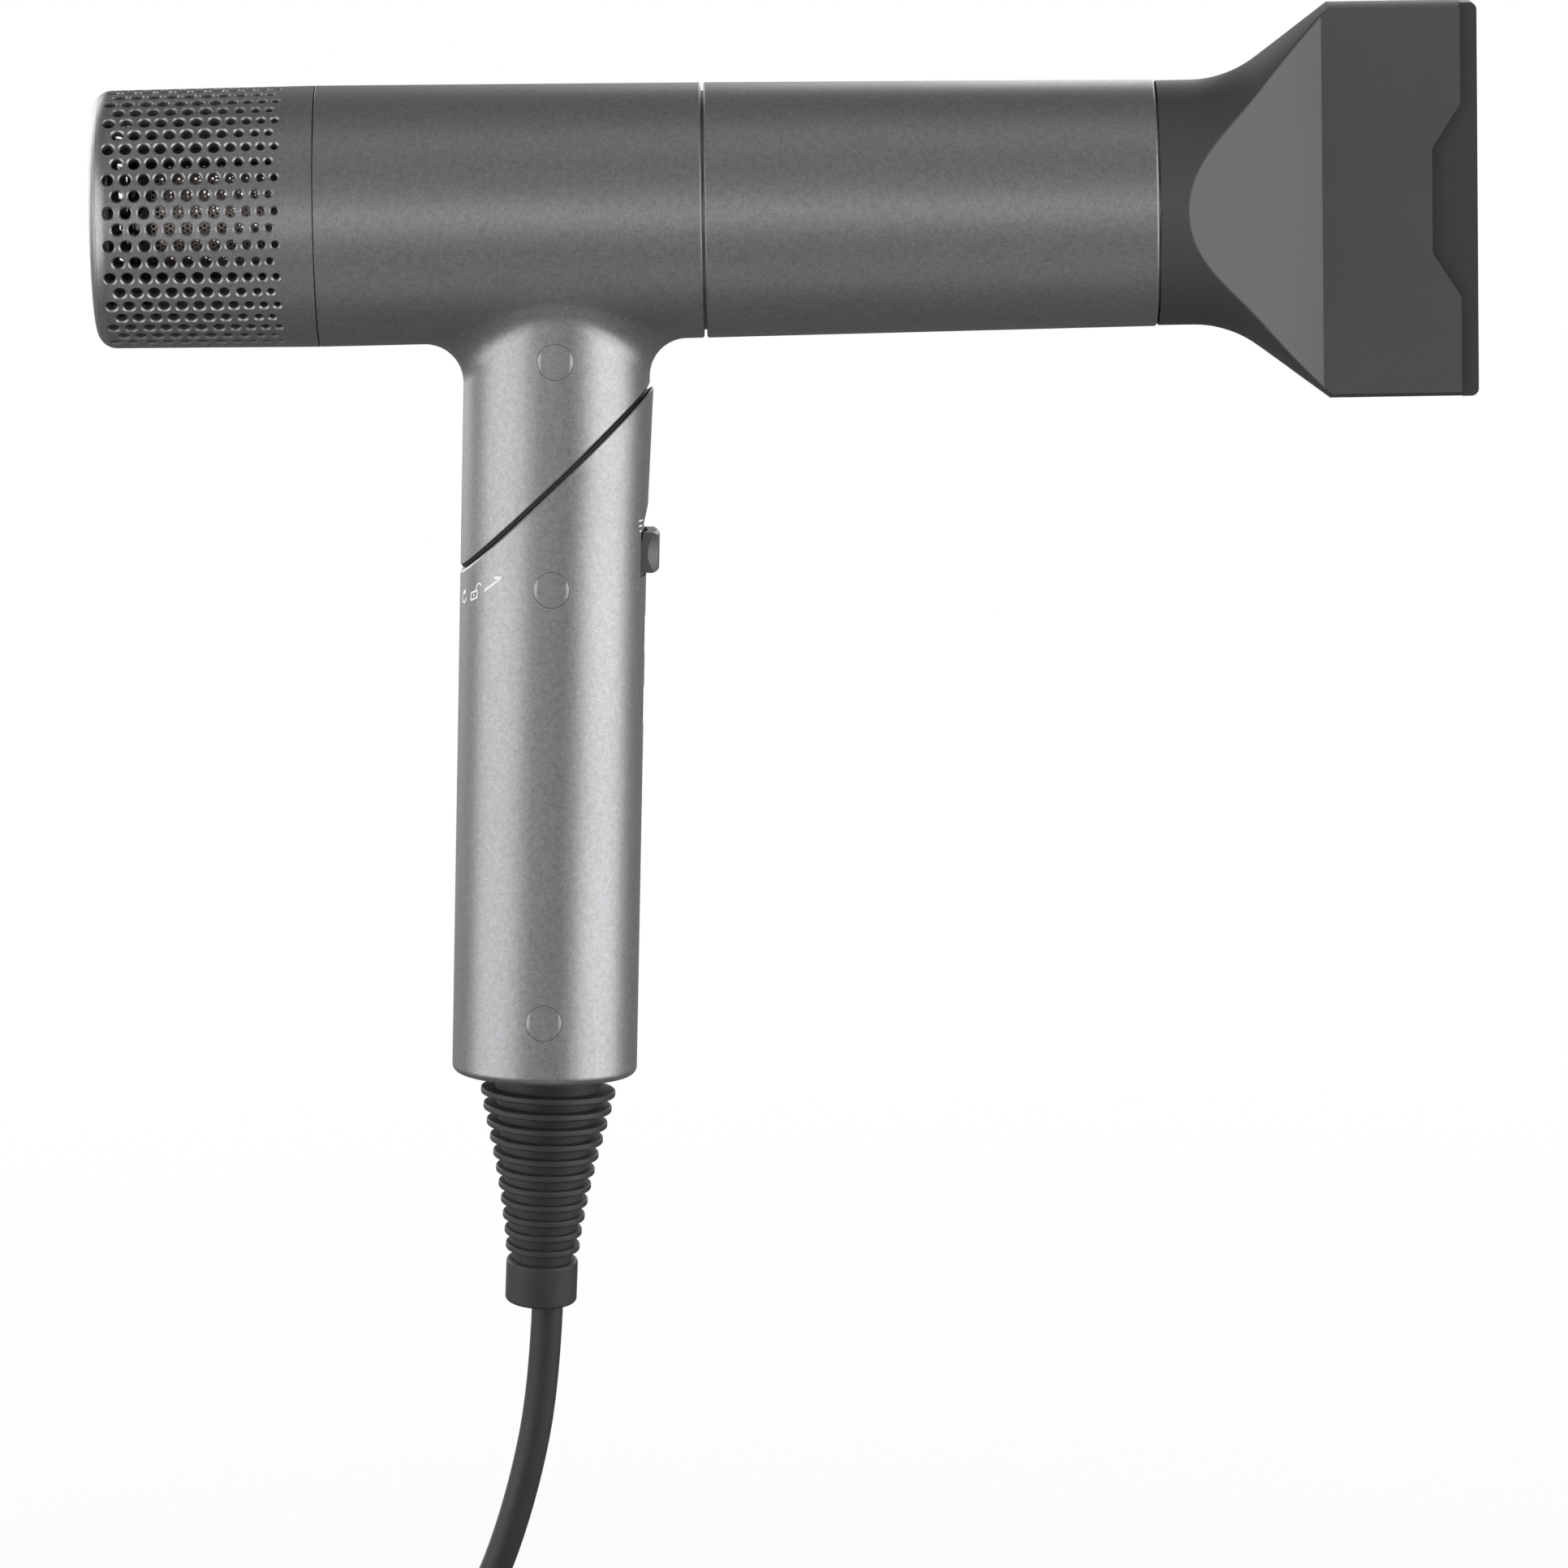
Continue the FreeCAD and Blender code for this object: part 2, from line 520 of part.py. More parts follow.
def pocket_cutter():
    """The slider's shallow pocket, with a ramp at its upper end."""
    floor = box(0, 30, -6.5, 6.5, POCKET_LOW, RAMP_LOW).cut(s_rod(0, BIG, POCKET_R))
    cone = Part.makeCone(POCKET_R, HANDLE_R + 0.15, RAMP_HIGH - RAMP_LOW, Vector(0, 0, RAMP_LOW), Z)
    ramp = box(0, 30, -6.5, 6.5, RAMP_LOW, RAMP_HIGH).cut(cone)
    slot = box(10, 30, -1.6, 1.6, 52.7, 61.9)
    return floor.fuse(ramp).fuse(slot)


def lower_handle():
    """The hand grip's two shells, their screws and the round plugs over them."""
    lip_start = 60.0
    lip_end = 95.0
    barrel = s_rod(HANDLE_BOTTOM, lip_start, HANDLE_R)
    bottom = [e for e in barrel.Edges if abs(e.BoundBox.ZMax - HANDLE_BOTTOM) < 0.01]
    barrel = barrel.makeFillet(1.7, bottom)
    offset = LIP * (lip_end - lip_start) / (FOLD_S + HANDLE_R - lip_start)
    low_ring = Part.Wire(Part.makeCircle(HANDLE_R, Vector(0, 0, lip_start), Z))
    high_ring = Part.Wire(Part.makeCircle(HANDLE_R, Vector(offset, 0, lip_end), Z))
    outer = barrel.fuse(Part.makeLoft([low_ring, high_ring], True, True))
    outer = outer.cut(fold_slab(-FOLD_GAP / 2, 150))
    outer = rim_chamfered(outer, RIM_CHAMFER, lambda e: on_fold_plane(e, -FOLD_GAP / 2))
    floor_s = HANDLE_BOTTOM + 2.4
    shell = outer.cut(s_rod(floor_s, BIG, HANDLE_R - HANDLE_WALL))
    shell = shell.cut(s_rod(HANDLE_BOTTOM - 1, BIG, 12.4)).cut(pocket_cutter())
    shell = in_handle(shell)
    for s in SCREW_S:
        boss = s_side_boss(s)
        shell = shell.fuse(boss["solid"]).cut(boss["drill"])
    for s in BUTTON_S.values():
        shell = shell.cut(in_handle(rod(Vector(10, 0, s), Vector(30, 0, s), BUTTON_R + 0.1)))
    left, right = halves(shell.removeSplitter())
    save("lower_handle_left", left)
    save("lower_handle_right", right)
    screw_and_cap(SCREW_S, "handle_screws", "handle_screw_caps")


def fold_joint():
    """The swivel at the 45 degree cut: two plates on a hollow pivot that carries the wires."""
    fit = s_rod(0, BIG, HANDLE_R - HANDLE_WALL - 0.05)
    gap = FOLD_GAP / 2
    lower = fit.common(fold_slab(-4.4, -gap)).cut(fold_rod(-9, 0, 6.0))
    upper = fit.common(fold_slab(gap, 4.4)).cut(fold_rod(0, 9, 6.05))
    across = Vector(0, 11.0, 0)
    pocket = rod(FOLD_CENTRE + across, FOLD_CENTRE + across + FOLD_NORMAL * 3.2, 1.5)
    upper = upper.cut(pocket)
    ball = Part.makeSphere(1.45, FOLD_CENTRE + across + FOLD_NORMAL * 1.6)
    pivot = fused([fold_rod(-6.6, 7.6, 5.99), fold_rod(-6.6, -4.4, 8.5)]).cut(fold_rod(-9, 9, 4.6))
    save("lower_hinge_plate", in_handle(lower))
    save("upper_hinge_plate", in_handle(upper))
    save("detent_ball", in_handle(ball))
    save("hinge_pivot", in_handle(pivot))
    save("hinge_wave_washer", in_handle(fold_rod(4.5, 4.9, 8.0).cut(fold_rod(4, 6, 6.0))))
    save("hinge_retaining_ring", in_handle(fold_rod(4.9, 6.0, 8.4).cut(fold_rod(4, 7, 6.0))))


def controls():
    """The slider and its switch, and two flush push buttons on sprung switches."""
    body = box(0, 40, -5.5, 5.5, SLIDER_LOW, SLIDER_HIGH).common(s_rod(0, BIG, SLIDER_FACE_R))
    front = [e for e in body.Edges if e.BoundBox.XMin > 20 and e.BoundBox.ZLength < 0.1]
    body = body.makeFillet(0.8, front)
    rise = SLIDER_TRAVEL + 0.05
    underside = s_rod(0, RAMP_LOW - rise, POCKET_R + 0.1)
    cone = Part.makeCone(POCKET_R + 0.1, HANDLE_R + 0.25, RAMP_HIGH - RAMP_LOW, Vector(0, 0, RAMP_LOW - rise), Z)
    body = body.cut(underside).cut(cone)
    mid = (SLIDER_LOW + SLIDER_HIGH) / 2
    for side in (-1, 1):
        corner = Vector(21.4, side * 5.5, mid)
        outwards = Vector(1, side, 0).normalize()
        along = Vector(1, -side, 0).normalize()
        scoop = Part.makeCylinder(SCOOP_R, 40, corner + outwards * (SCOOP_R - 1.2) - along * 20, along)
        body = body.cut(scoop)
    stem = box(15.0, 19.5, -1.5, 1.5, 53.0, 56.4)
    shield = box(15.9, 16.5, -3.0, 3.0, 47.5, 66.0)
    save("airflow_slider", in_handle(fused([body, stem, shield])))
    board = box(9.5, 10.7, -7.0, 7.0, 12.0, 62.0)
    slide = fused([box(10.75, 13.6, -4.0, 4.0, 46.0, 62.0), box(13.5, 14.8, -0.8, 0.8, 53.4, 56.0)])
    save("switch_board", in_handle(board))
    save("slide_switch", in_handle(slide))
    switches = []
    for name, s in BUTTON_S.items():
        cap = rod(Vector(14.9, 0, s), Vector(30, 0, s), BUTTON_R).common(s_rod(0, BIG, HANDLE_R - 0.1))
        flange = rod(Vector(15.0, 0, s), Vector(15.9, 0, s), BUTTON_R + 1.0)
        save(name, in_handle(fused([cap, flange])))
        switches.append(in_handle(fused([box(10.75, 13.4, -3, 3, s - 3, s + 3),
                                         rod(Vector(13.3, 0, s), Vector(14.0, 0, s), 1.6)])))
    save("push_switches", Part.makeCompound(switches))
    save("control_board", in_handle(box(-7.6, -6.0, -12.5, 12.5, -34, 40)))
    can = rod(Vector(-5.95, 0, -18), Vector(4.5, 0, -18), 5.0)
    save("board_capacitor", in_handle(can))
    save("ion_generator", in_handle(box(-14, -5, -6, 6, 83.5, 96)))


# ---------------------------------------------------------------- strain relief, cord and plug

def relief_point(depth):
    """A point on the strain relief's gently bent axis, and its direction, in the handle's frame."""
    angle = depth / RELIEF_BEND_R
    lean = RELIEF_SHIFT / RELIEF_LENGTH
    point = Vector(RELIEF_SHIFT - lean * depth, RELIEF_BEND_R * (1 - math.cos(angle)),
                   HANDLE_BOTTOM - RELIEF_BEND_R * math.sin(angle))
    return point, Vector(-lean, math.sin(angle), -math.cos(angle)).normalize()


def strain_relief():
    """A rubber sleeve of discs on a tapering core, keyed into the handle's floor."""
    rib_ends = RIB_FIRST + RIB_PITCH * (len(RIB_RADII) - 1)
    collar_start = rib_ends + 2.9
    core_top = 11.55
    core_end = 6.3
    solids = [s_rod(HANDLE_BOTTOM - 1.4, HANDLE_BOTTOM + 2.42, 12.3), s_rod(HANDLE_BOTTOM + 2.42, -51.2, 14.5)]
    for k, radius in enumerate(RIB_RADII):
        point, along = relief_point(RIB_FIRST + RIB_PITCH * k)
        disc = Part.makeCylinder(radius, RIB_WIDTH, point - along * (RIB_WIDTH / 2), along)
        solids.append(disc.makeFillet(0.35, [disc.Edges[0], disc.Edges[2]]))
    stations = [0.0] + [RIB_FIRST + RIB_PITCH * k for k in range(len(RIB_RADII))] + [collar_start + 0.3]
    for a, b in zip(stations, stations[1:]):
        start, along = relief_point(a)
        end = relief_point(b)[0]
        r0 = core_top + (core_end - core_top) * a / collar_start
        r1 = core_top + (core_end - core_top) * min(1, b / collar_start)
        solids.append(Part.makeCone(r0, r1, (end - start).Length, start, end - start))
    start, along = relief_point(collar_start)
    collar = Part.makeCylinder(7.55, RELIEF_LENGTH - collar_start, start, along)
    solids.append(collar.makeFillet(0.7, [collar.Edges[0], collar.Edges[2]]))
    save("strain_relief", in_handle(fused(solids)))
    clamp = box(-9, 9, -4, 4, -50.9, -47.6).cut(box(-3, 3, -5, 5, -48.6, -47))
    save("cord_clamp", in_handle(clamp))


def tube_along(points, radius):
    """A round tube along straight runs joined by tangent arcs, as large as the runs allow."""
    edges = []
    radii = []
    last = points[0]
    for before, corner, after in zip(points, points[1:], points[2:]):
        into = (corner - before).normalize()
        out = (after - corner).normalize()
        run = min(before.distanceToPoint(corner), corner.distanceToPoint(after))
        trim = 0.45 * run
        radii.append(trim / math.tan(into.getAngle(out) / 2))
        start = corner - into * trim
        end = corner + out * trim
        bulge = (out - into).normalize()
        centre = corner + bulge * math.hypot(radii[-1], trim)
        middle = centre - bulge * radii[-1]
        edges.append(Part.LineSegment(last, start).toShape())
        edges.append(Part.Arc(start, middle, end).toShape())
        last = end
    edges.append(Part.LineSegment(last, points[-1]).toShape())
    path = Part.Wire(edges)
    section = Part.Wire(Part.makeCircle(radius, points[0], points[1] - points[0]))
    tube = path.makePipeShell([section], True, False)
    print("  radii", [round(r) for r in radii], "volume ratio",
          round(tube.Volume / (math.pi * radius ** 2 * path.Length), 3), "length", round(path.Length, 1))
    return tube


def coil_layout():
    """Where the cord runs onto the coil's top layer, the coil's centre, and where it leaves."""
    lead = (CORD_ROUTE[-1] - CORD_ROUTE[-2]).normalize()
    top_turn = SURFACE_Z + (COIL_LAYERS - 0.5) * CORD_D
    landing = CORD_ROUTE[-1] + lead * ((top_turn - CORD_ROUTE[-1].z) / lead.z)
    heading = Vector(lead.x, lead.y, 0).normalize()
    spread = COIL_TURNS_A_LAYER * COIL_TURN_PITCH / 2
    centre = Vector(landing.x, landing.y, 0) + Vector(-heading.y, heading.x, 0) * (COIL_MID_R - spread)
    return landing, centre, spread


def cord():
    """The hanging cord, its neat coil on the surface, the tail and the plug."""
    radius = CORD_D / 2
    landing, centre, spread = coil_layout()
    save("power_cord", tube_along(CORD_ROUTE, radius))
    half = spread + radius
    height = COIL_LAYERS * CORD_D + 0.1
    ring = Part.makeCylinder(COIL_MID_R + half, height, Vector(centre.x, centre.y, SURFACE_Z), Z)
    ring = ring.cut(Part.makeCylinder(COIL_MID_R - half, height + 2, Vector(centre.x, centre.y, SURFACE_Z - 1), Z))
    ring = ring.makeFillet(2.6, [e for e in ring.Edges if e.BoundBox.XLength > 50])
    lead_in = rod(CORD_ROUTE[-1], landing, radius)
    # The tail leaves from the outer turn of the bottom layer.
    spoke = Rotation(Z, LEAVE_ANGLE).multVec(X)
    away = Rotation(Z, 90).multVec(spoke)
    exit_start = centre + spoke * (COIL_MID_R + spread) + Z * (SURFACE_Z + radius)
    stub_end = exit_start + away * 28
    ring = fused([ring, lead_in, rod(exit_start, stub_end, radius)])
    save("cord_coil", ring)
    bent = Rotation(Z, TAIL_TURN).multVec(away)
    # The tail climbs to the middle of the plug, and runs level into it.
    foot = stub_end + away * TAIL_RUNS[0]
    knee = foot + away * TAIL_RUNS[1] + Z * (PLUG_HALF_HEIGHT - radius)
    tail_end = knee + bent * TAIL_RUNS[2]
    save("cord_tail", tube_along([stub_end, foot, knee, tail_end], radius))
    tie_at = centre + Rotation(Z, TIE_ANGLE).multVec(X) * COIL_MID_R
    # The turns curve within the strap's width, so it stands further off their inner side.
    strap = box(-4.5, 4.5, -half - 1.6, half + 1.3, 0, height + 1.3)
    strap = strap.makeFillet(2.8, [e for e in strap.Edges if e.BoundBox.XLength > 5])
    strap = strap.cut(box(-5.5, 5.5, -half - 0.55, half + 0.15, 0, height + 0.15))
    strap.rotate(Vector(0, 0, 0), Z, TIE_ANGLE - 90)
    strap.translate(Vector(tie_at.x, tie_at.y, SURFACE_Z))
    save("coil_tie", strap)
    plug(tail_end, bent)
    print("  coil centre", centre, "landing", landing, "tail end", tail_end, "along", bent)


def plug(start, along):
    """A flat two-pin plug lying on the surface: body with a ribbed neck, and two round pins."""
    turn = math.degrees(math.atan2(along.y, along.x))
    neck = [Part.makeCone(4.6, 6.0, 15, Vector(0, 0, 0), X)]
    for k in range(4):
        neck.append(x_rod(2.0 + 3.2 * k, 3.6 + 3.2 * k, 6.2))
    body = box(14, 38, -17.2, 17.2, -PLUG_HALF_HEIGHT, PLUG_HALF_HEIGHT)
    body = body.makeFillet(5.0, [e for e in body.Edges if e.BoundBox.XLength > 20])
    body = body.makeChamfer(2.4, [e for e in body.Edges if abs(e.BoundBox.XMax - 14) < 0.01])
    pins = []
    for side in (-1, 1):
        pin = x_rod(38, 38 + PIN_LENGTH, PIN_D / 2)
        pin = pin.makeFillet(1.6, [e for e in pin.Edges if abs(e.BoundBox.XMin - 38 - PIN_LENGTH) < 0.01])
        pin.translate(Vector(0, side * PIN_SPACING / 2, 0))
        pins.append(pin)
    for name, shape in (("plug_body", fused(neck + [body])), ("plug_pins", Part.makeCompound(pins))):
        placed = shape.copy()
        placed.rotate(Vector(0, 0, 0), Z, turn)
        placed.translate(start)
        save(name, placed)


rear_covers()
housing()
sleeve()
nozzle()
heater()
motor()
intake_filter()
lower_handle()
fold_joint()
controls()
strain_relief()
cord()
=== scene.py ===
import json
import math

import bpy
from mathutils import Matrix, Vector


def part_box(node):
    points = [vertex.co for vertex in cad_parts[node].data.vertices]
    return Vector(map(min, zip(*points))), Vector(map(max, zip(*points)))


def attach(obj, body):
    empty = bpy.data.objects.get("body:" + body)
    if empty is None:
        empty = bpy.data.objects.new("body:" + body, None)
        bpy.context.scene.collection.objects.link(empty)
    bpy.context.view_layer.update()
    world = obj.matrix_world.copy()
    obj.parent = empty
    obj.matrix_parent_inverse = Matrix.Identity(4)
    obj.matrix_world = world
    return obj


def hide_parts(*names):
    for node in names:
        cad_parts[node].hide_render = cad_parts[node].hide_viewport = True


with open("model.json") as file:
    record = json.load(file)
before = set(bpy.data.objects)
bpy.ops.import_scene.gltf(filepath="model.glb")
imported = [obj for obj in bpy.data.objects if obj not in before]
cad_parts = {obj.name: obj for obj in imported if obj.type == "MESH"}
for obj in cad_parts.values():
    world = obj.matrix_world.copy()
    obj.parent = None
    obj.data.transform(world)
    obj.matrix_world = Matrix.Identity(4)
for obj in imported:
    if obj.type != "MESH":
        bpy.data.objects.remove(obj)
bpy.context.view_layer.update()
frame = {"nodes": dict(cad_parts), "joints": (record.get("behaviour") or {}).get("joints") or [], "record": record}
NODES = frame["nodes"]
JOINTS = {joint["name"]: joint for joint in frame["joints"]}

MM = 0.001
X = Vector((1, 0, 0))
Y = Vector((0, 1, 0))
Z = Vector((0, 0, 1))

# From the joints: a point on the barrel's axis, the handle's directions, the fold's place and axis
BARREL = Vector(JOINTS["fan_spin"]["pos_m"])
UP_HANDLE = Vector(JOINTS["airflow_slide"]["axis"]).normalized()
ACROSS_HANDLE = Y.cross(UP_HANDLE).normalized()
FOLD_AT = Vector(JOINTS["handle_fold"]["pos_m"])
FOLD_AXIS = Vector(JOINTS["handle_fold"]["axis"])
HANDLE_R = 19.4 * MM


def handle_point(along, angle, radius):
    """A point near the handle: height along its axis, degrees round from the front, radius."""
    turn = math.radians(angle)
    spoke = ACROSS_HANDLE * math.cos(turn) + Y * math.sin(turn)
    return UP_HANDLE * along + spoke * radius


# ---------------------------------------------------------------- modelling helpers

def deselect_all():
    bpy.ops.object.select_all(action="DESELECT")


def use(piece):
    """Makes a piece the only selected and the active object."""
    deselect_all()
    piece.select_set(True)
    bpy.context.view_layer.objects.active = piece


def named(name):
    """Names the object that was just added."""
    piece = bpy.context.object
    piece.name = name
    piece.data.name = name
    return piece


def settle(piece):
    """Puts a piece's place, turn and size into its mesh."""
    use(piece)
    bpy.ops.object.transform_apply(location=True, rotation=True, scale=True)


def finish_modifier(piece, kind, **settings):
    """Adds a modifier with these settings and applies it."""
    use(piece)
    modifier = piece.modifiers.new(kind.title(), kind)
    for key, value in settings.items():
        setattr(modifier, key, value)
    bpy.ops.object.modifier_apply(modifier=modifier.name)


def smooth(piece, degrees=40):
    """Shades smoothly across the edges that bend less than this."""
    use(piece)
    bpy.ops.object.shade_smooth_by_angle(angle=math.radians(degrees))


def dress(piece, material):
    """Gives a piece one material."""
    piece.data.materials.clear()
    piece.data.materials.append(material)


def to_barrel(piece):
    """Moves a piece that was made about the X axis onto the barrel's axis."""
    piece.location = BARREL
    settle(piece)


# ---------------------------------------------------------------- shader helpers

class Socket:
    """A shader output that adds Math nodes when it is used in an expression."""

    def __init__(self, nodes, socket):
        self.nodes = nodes
        self.socket = socket

    def maths(self, operation, first, second):
        return self.nodes.node("ShaderNodeMath", {"operation": operation}, {0: first, 1: second})

    def __add__(self, other):
        return self.maths("ADD", self, other)

    def __radd__(self, other):
        return self.maths("ADD", other, self)

    def __sub__(self, other):
        return self.maths("SUBTRACT", self, other)

    def __rsub__(self, other):
        return self.maths("SUBTRACT", other, self)

    def __mul__(self, other):
        return self.maths("MULTIPLY", self, other)

    def __rmul__(self, other):
        return self.maths("MULTIPLY", other, self)

    def clamped(self):
        """The same value, kept between 0 and 1."""
        return self.nodes.node("ShaderNodeClamp", {}, {"Value": self})


class Nodes:
    """The shader nodes of a material or of the world, cleared down to a new output."""

    def __init__(self, owner, output):
        owner.use_nodes = True
        self.tree = owner.node_tree
        self.tree.nodes.clear()
        self.output = self.tree.nodes.new(output)

    def node(self, kind, settings, inputs, output=0):
        """Adds a node: its settings first, then the values or links of its inputs."""
        made = self.tree.nodes.new(kind)
        for key, value in settings.items():
            setattr(made, key, value)
        for key, value in inputs.items():
            self.feed(made.inputs[key], value)
        return Socket(self, made.outputs[output])

    def feed(self, target, value):
        if isinstance(value, Socket):
            self.tree.links.new(value.socket, target)
        else:
            target.default_value = value


class Finish(Nodes):
    """One material: a Principled shader, and the nodes that feed it."""

    def __init__(self, name, **constants):
        self.material = bpy.data.materials.new(name)
        super().__init__(self.material, "ShaderNodeOutputMaterial")
        self.shader = self.tree.nodes.new("ShaderNodeBsdfPrincipled")
        self.lit = Socket(self, self.shader.outputs["BSDF"])
        self.feed(self.output.inputs["Surface"], self.lit)
        for key, value in constants.items():
            self.wear(key.replace("_", " "), value)

    def place(self):
        """The point on the piece, in metres."""
        return self.node("ShaderNodeTexCoord", {}, {}, "Object")

    def noise(self, scale, detail=2.0, roughness=0.5, place=None):
        """Soft noise between 0 and 1, with this many features to a metre."""
        inputs = {"Vector": place or self.place(), "Scale": scale,
                  "Detail": detail, "Roughness": roughness}
        return self.node("ShaderNodeTexNoise", {}, inputs, "Fac")

    def cells(self, scale):
        """The distance to the middle of the nearest of many small cells."""
        inputs = {"Vector": self.place(), "Scale": scale}
        return self.node("ShaderNodeTexVoronoi", {}, inputs, "Distance")

    def mix(self, factor, first, second):
        """A colour between two colours."""
        return self.node("ShaderNodeMix", {"data_type": "RGBA"},
                         {"Factor": factor, 6: first, 7: second}, 2)

    def bump(self, height, strength, distance):
        """A fine relief, for the shader's normal."""
        inputs = {"Height": height, "Strength": strength, "Distance": distance}
        return self.node("ShaderNodeBump", {}, inputs, "Normal")

    def wear(self, key, value):
        """Feeds one of the shader's own sockets."""
        self.feed(self.shader.inputs[key], value)


def grey(level):
    """A neutral colour."""
    return (level, level, level, 1.0)


# ---------------------------------------------------------------- finishes

def satin_paint():
    """Graphite metallic lacquer with a fine sparkle and a faint orange peel."""
    f = Finish("satin_paint", Metallic=0.75)
    flake = f.noise(4200.0, 1.0, 0.6)
    cloud = f.noise(900.0, 3.0, 0.6)
    handled = f.noise(32.0, 3.0, 0.5)
    sparkle = (flake * 0.65 + cloud * 0.35 - 0.28) * 2.2
    f.wear("Base Color", f.mix(sparkle, (0.165, 0.164, 0.170, 1), (0.335, 0.333, 0.342, 1)))
    f.wear("Roughness", 0.34 + flake * 0.10 + handled * 0.07)
    f.wear("Normal", f.bump(flake * 0.6 + cloud * 0.4, 0.10, 0.05 * MM))
    return f.material


def nozzle_plastic():
    """Mid-grey moulded plastic with a fine spark-eroded grain."""
    f = Finish("nozzle_plastic", Metallic=0.0)
    grain = f.noise(3600.0, 2.0, 0.65)
    cloud = f.noise(60.0, 3.0, 0.5)
    tone = grain * 0.7 + cloud * 0.3
    f.wear("Base Color", f.mix(tone, (0.036, 0.036, 0.038, 1), (0.058, 0.058, 0.061, 1)))
    f.wear("Roughness", 0.46 + grain * 0.12 + cloud * 0.05)
    f.wear("Normal", f.bump(grain, 0.16, 0.06 * MM))
    return f.material


def dark_plastic():
    """Near-black engineering plastic, matte, faintly mottled."""
    f = Finish("dark_plastic", Metallic=0.0)
    grain = f.noise(2600.0, 2.0, 0.6)
    cloud = f.noise(120.0, 2.0, 0.5)
    tone = grain * 0.5 + cloud * 0.5
    f.wear("Base Color", f.mix(tone, (0.014, 0.014, 0.015, 1), (0.030, 0.030, 0.032, 1)))
    f.wear("Roughness", 0.48 + cloud * 0.14)
    f.wear("Normal", f.bump(grain, 0.12, 0.05 * MM))
    return f.material


def black_gloss():
    """Polished black plastic with faint wipe marks."""
    f = Finish("black_gloss", Coat_Weight=0.6, Coat_Roughness=0.05)
    wipes = f.noise(240.0, 4.0, 0.6)
    f.wear("Base Color", f.mix(wipes, (0.006, 0.006, 0.007, 1), (0.014, 0.014, 0.015, 1)))
    f.wear("Roughness", 0.10 + wipes * 0.12)
    f.wear("Normal", f.bump(f.noise(90.0, 2.0), 0.03, 0.2 * MM))
    return f.material


BRUSHED_ALONG_X = (60.0, 2600.0, 2600.0)
BRUSHED_ALONG_Z = (2600.0, 2600.0, 60.0)


def brushed_metal(name, dark, light, rough, brushing=BRUSHED_ALONG_X):
    """Metal with brushing along one direction."""
    f = Finish(name, Metallic=1.0)
    stretched = f.node("ShaderNodeMapping", {}, {"Vector": f.place(), "Scale": brushing}, "Vector")
    lines = f.noise(1.0, 3.0, 0.6, stretched)
    stain = f.noise(180.0, 3.0, 0.55)
    f.wear("Base Color", f.mix(lines * 0.6 + stain * 0.4, dark, light))
    f.wear("Roughness", rough + lines * 0.12 + stain * 0.08)
    f.wear("Normal", f.bump(lines, 0.12, 0.03 * MM))
    return f.material


def rubber():
    """Matte black rubber with a dusty bloom and fine moulding grain."""
    f = Finish("rubber", Metallic=0.0)
    grain = f.noise(3000.0, 2.0, 0.6)
    bloom = f.noise(85.0, 4.0, 0.6)
    tone = bloom * 0.6 + grain * 0.4
    f.wear("Base Color", f.mix(tone, (0.012, 0.0115, 0.012, 1), (0.026, 0.025, 0.026, 1)))
    f.wear("Roughness", 0.52 + bloom * 0.16)
    f.wear("Normal", f.bump(grain, 0.14, 0.05 * MM))
    return f.material


def button_plastic():
    """Dark satin plastic of the controls."""
    f = Finish("button_plastic", Metallic=0.0)
    grain = f.noise(3400.0, 2.0, 0.6)
    f.wear("Base Color", f.mix(grain, (0.052, 0.052, 0.055, 1), (0.098, 0.098, 0.103, 1)))
    f.wear("Roughness", 0.40 + grain * 0.15)
    f.wear("Normal", f.bump(grain, 0.15, 0.05 * MM))
    return f.material


def pale_plastic():
    """Off-white nylon."""
    f = Finish("white_plastic", Metallic=0.0)
    cloud = f.noise(150.0, 3.0, 0.5)
    f.wear("Base Color", f.mix(cloud, (0.68, 0.67, 0.62, 1), (0.80, 0.79, 0.75, 1)))
    f.wear("Roughness", 0.40 + cloud * 0.12)
    f.wear("Normal", f.bump(f.noise(2200.0, 2.0), 0.08, 0.04 * MM))
    return f.material


def mica():
    """Layered mica board: golden grey with silky flakes."""
    f = Finish("mica", Metallic=0.0)
    flakes = f.cells(520.0)
    cloud = f.noise(140.0, 4.0, 0.6)
    tone = cloud * 0.6 + flakes * 0.5
    f.wear("Base Color", f.mix(tone, (0.42, 0.36, 0.25, 1), (0.72, 0.66, 0.50, 1)))
    f.wear("Roughness", 0.30 + flakes * 0.3)
    f.wear("Normal", f.bump(flakes, 0.1, 0.08 * MM))
    return f.material


def circuit_board():
    """Green solder mask over faint tracks."""
    f = Finish("circuit_board", Metallic=0.0, Coat_Weight=0.4, Coat_Roughness=0.15)
    tracks = {"Vector": f.place(), "Scale": 220.0, "Mortar Size": 0.04,
              "Color1": (0.010, 0.085, 0.035, 1), "Color2": (0.014, 0.105, 0.045, 1),
              "Mortar": (0.030, 0.190, 0.085, 1)}
    f.wear("Base Color", f.node("ShaderNodeTexBrick", {}, tracks, "Color"))
    f.wear("Roughness", 0.28 + f.noise(300.0, 2.0) * 0.12)
    f.wear("Normal", f.bump(f.noise(900.0, 2.0), 0.06, 0.05 * MM))
    return f.material


def white_print():
    """Pad-printed white ink, slightly uneven."""
    f = Finish("white_print", Metallic=0.0)
    ink = f.noise(1500.0, 3.0, 0.6)
    f.wear("Base Color", f.mix(ink, (0.80, 0.80, 0.80, 1), (0.92, 0.92, 0.92, 1)))
    f.wear("Roughness", 0.45 + ink * 0.15)
    return f.material


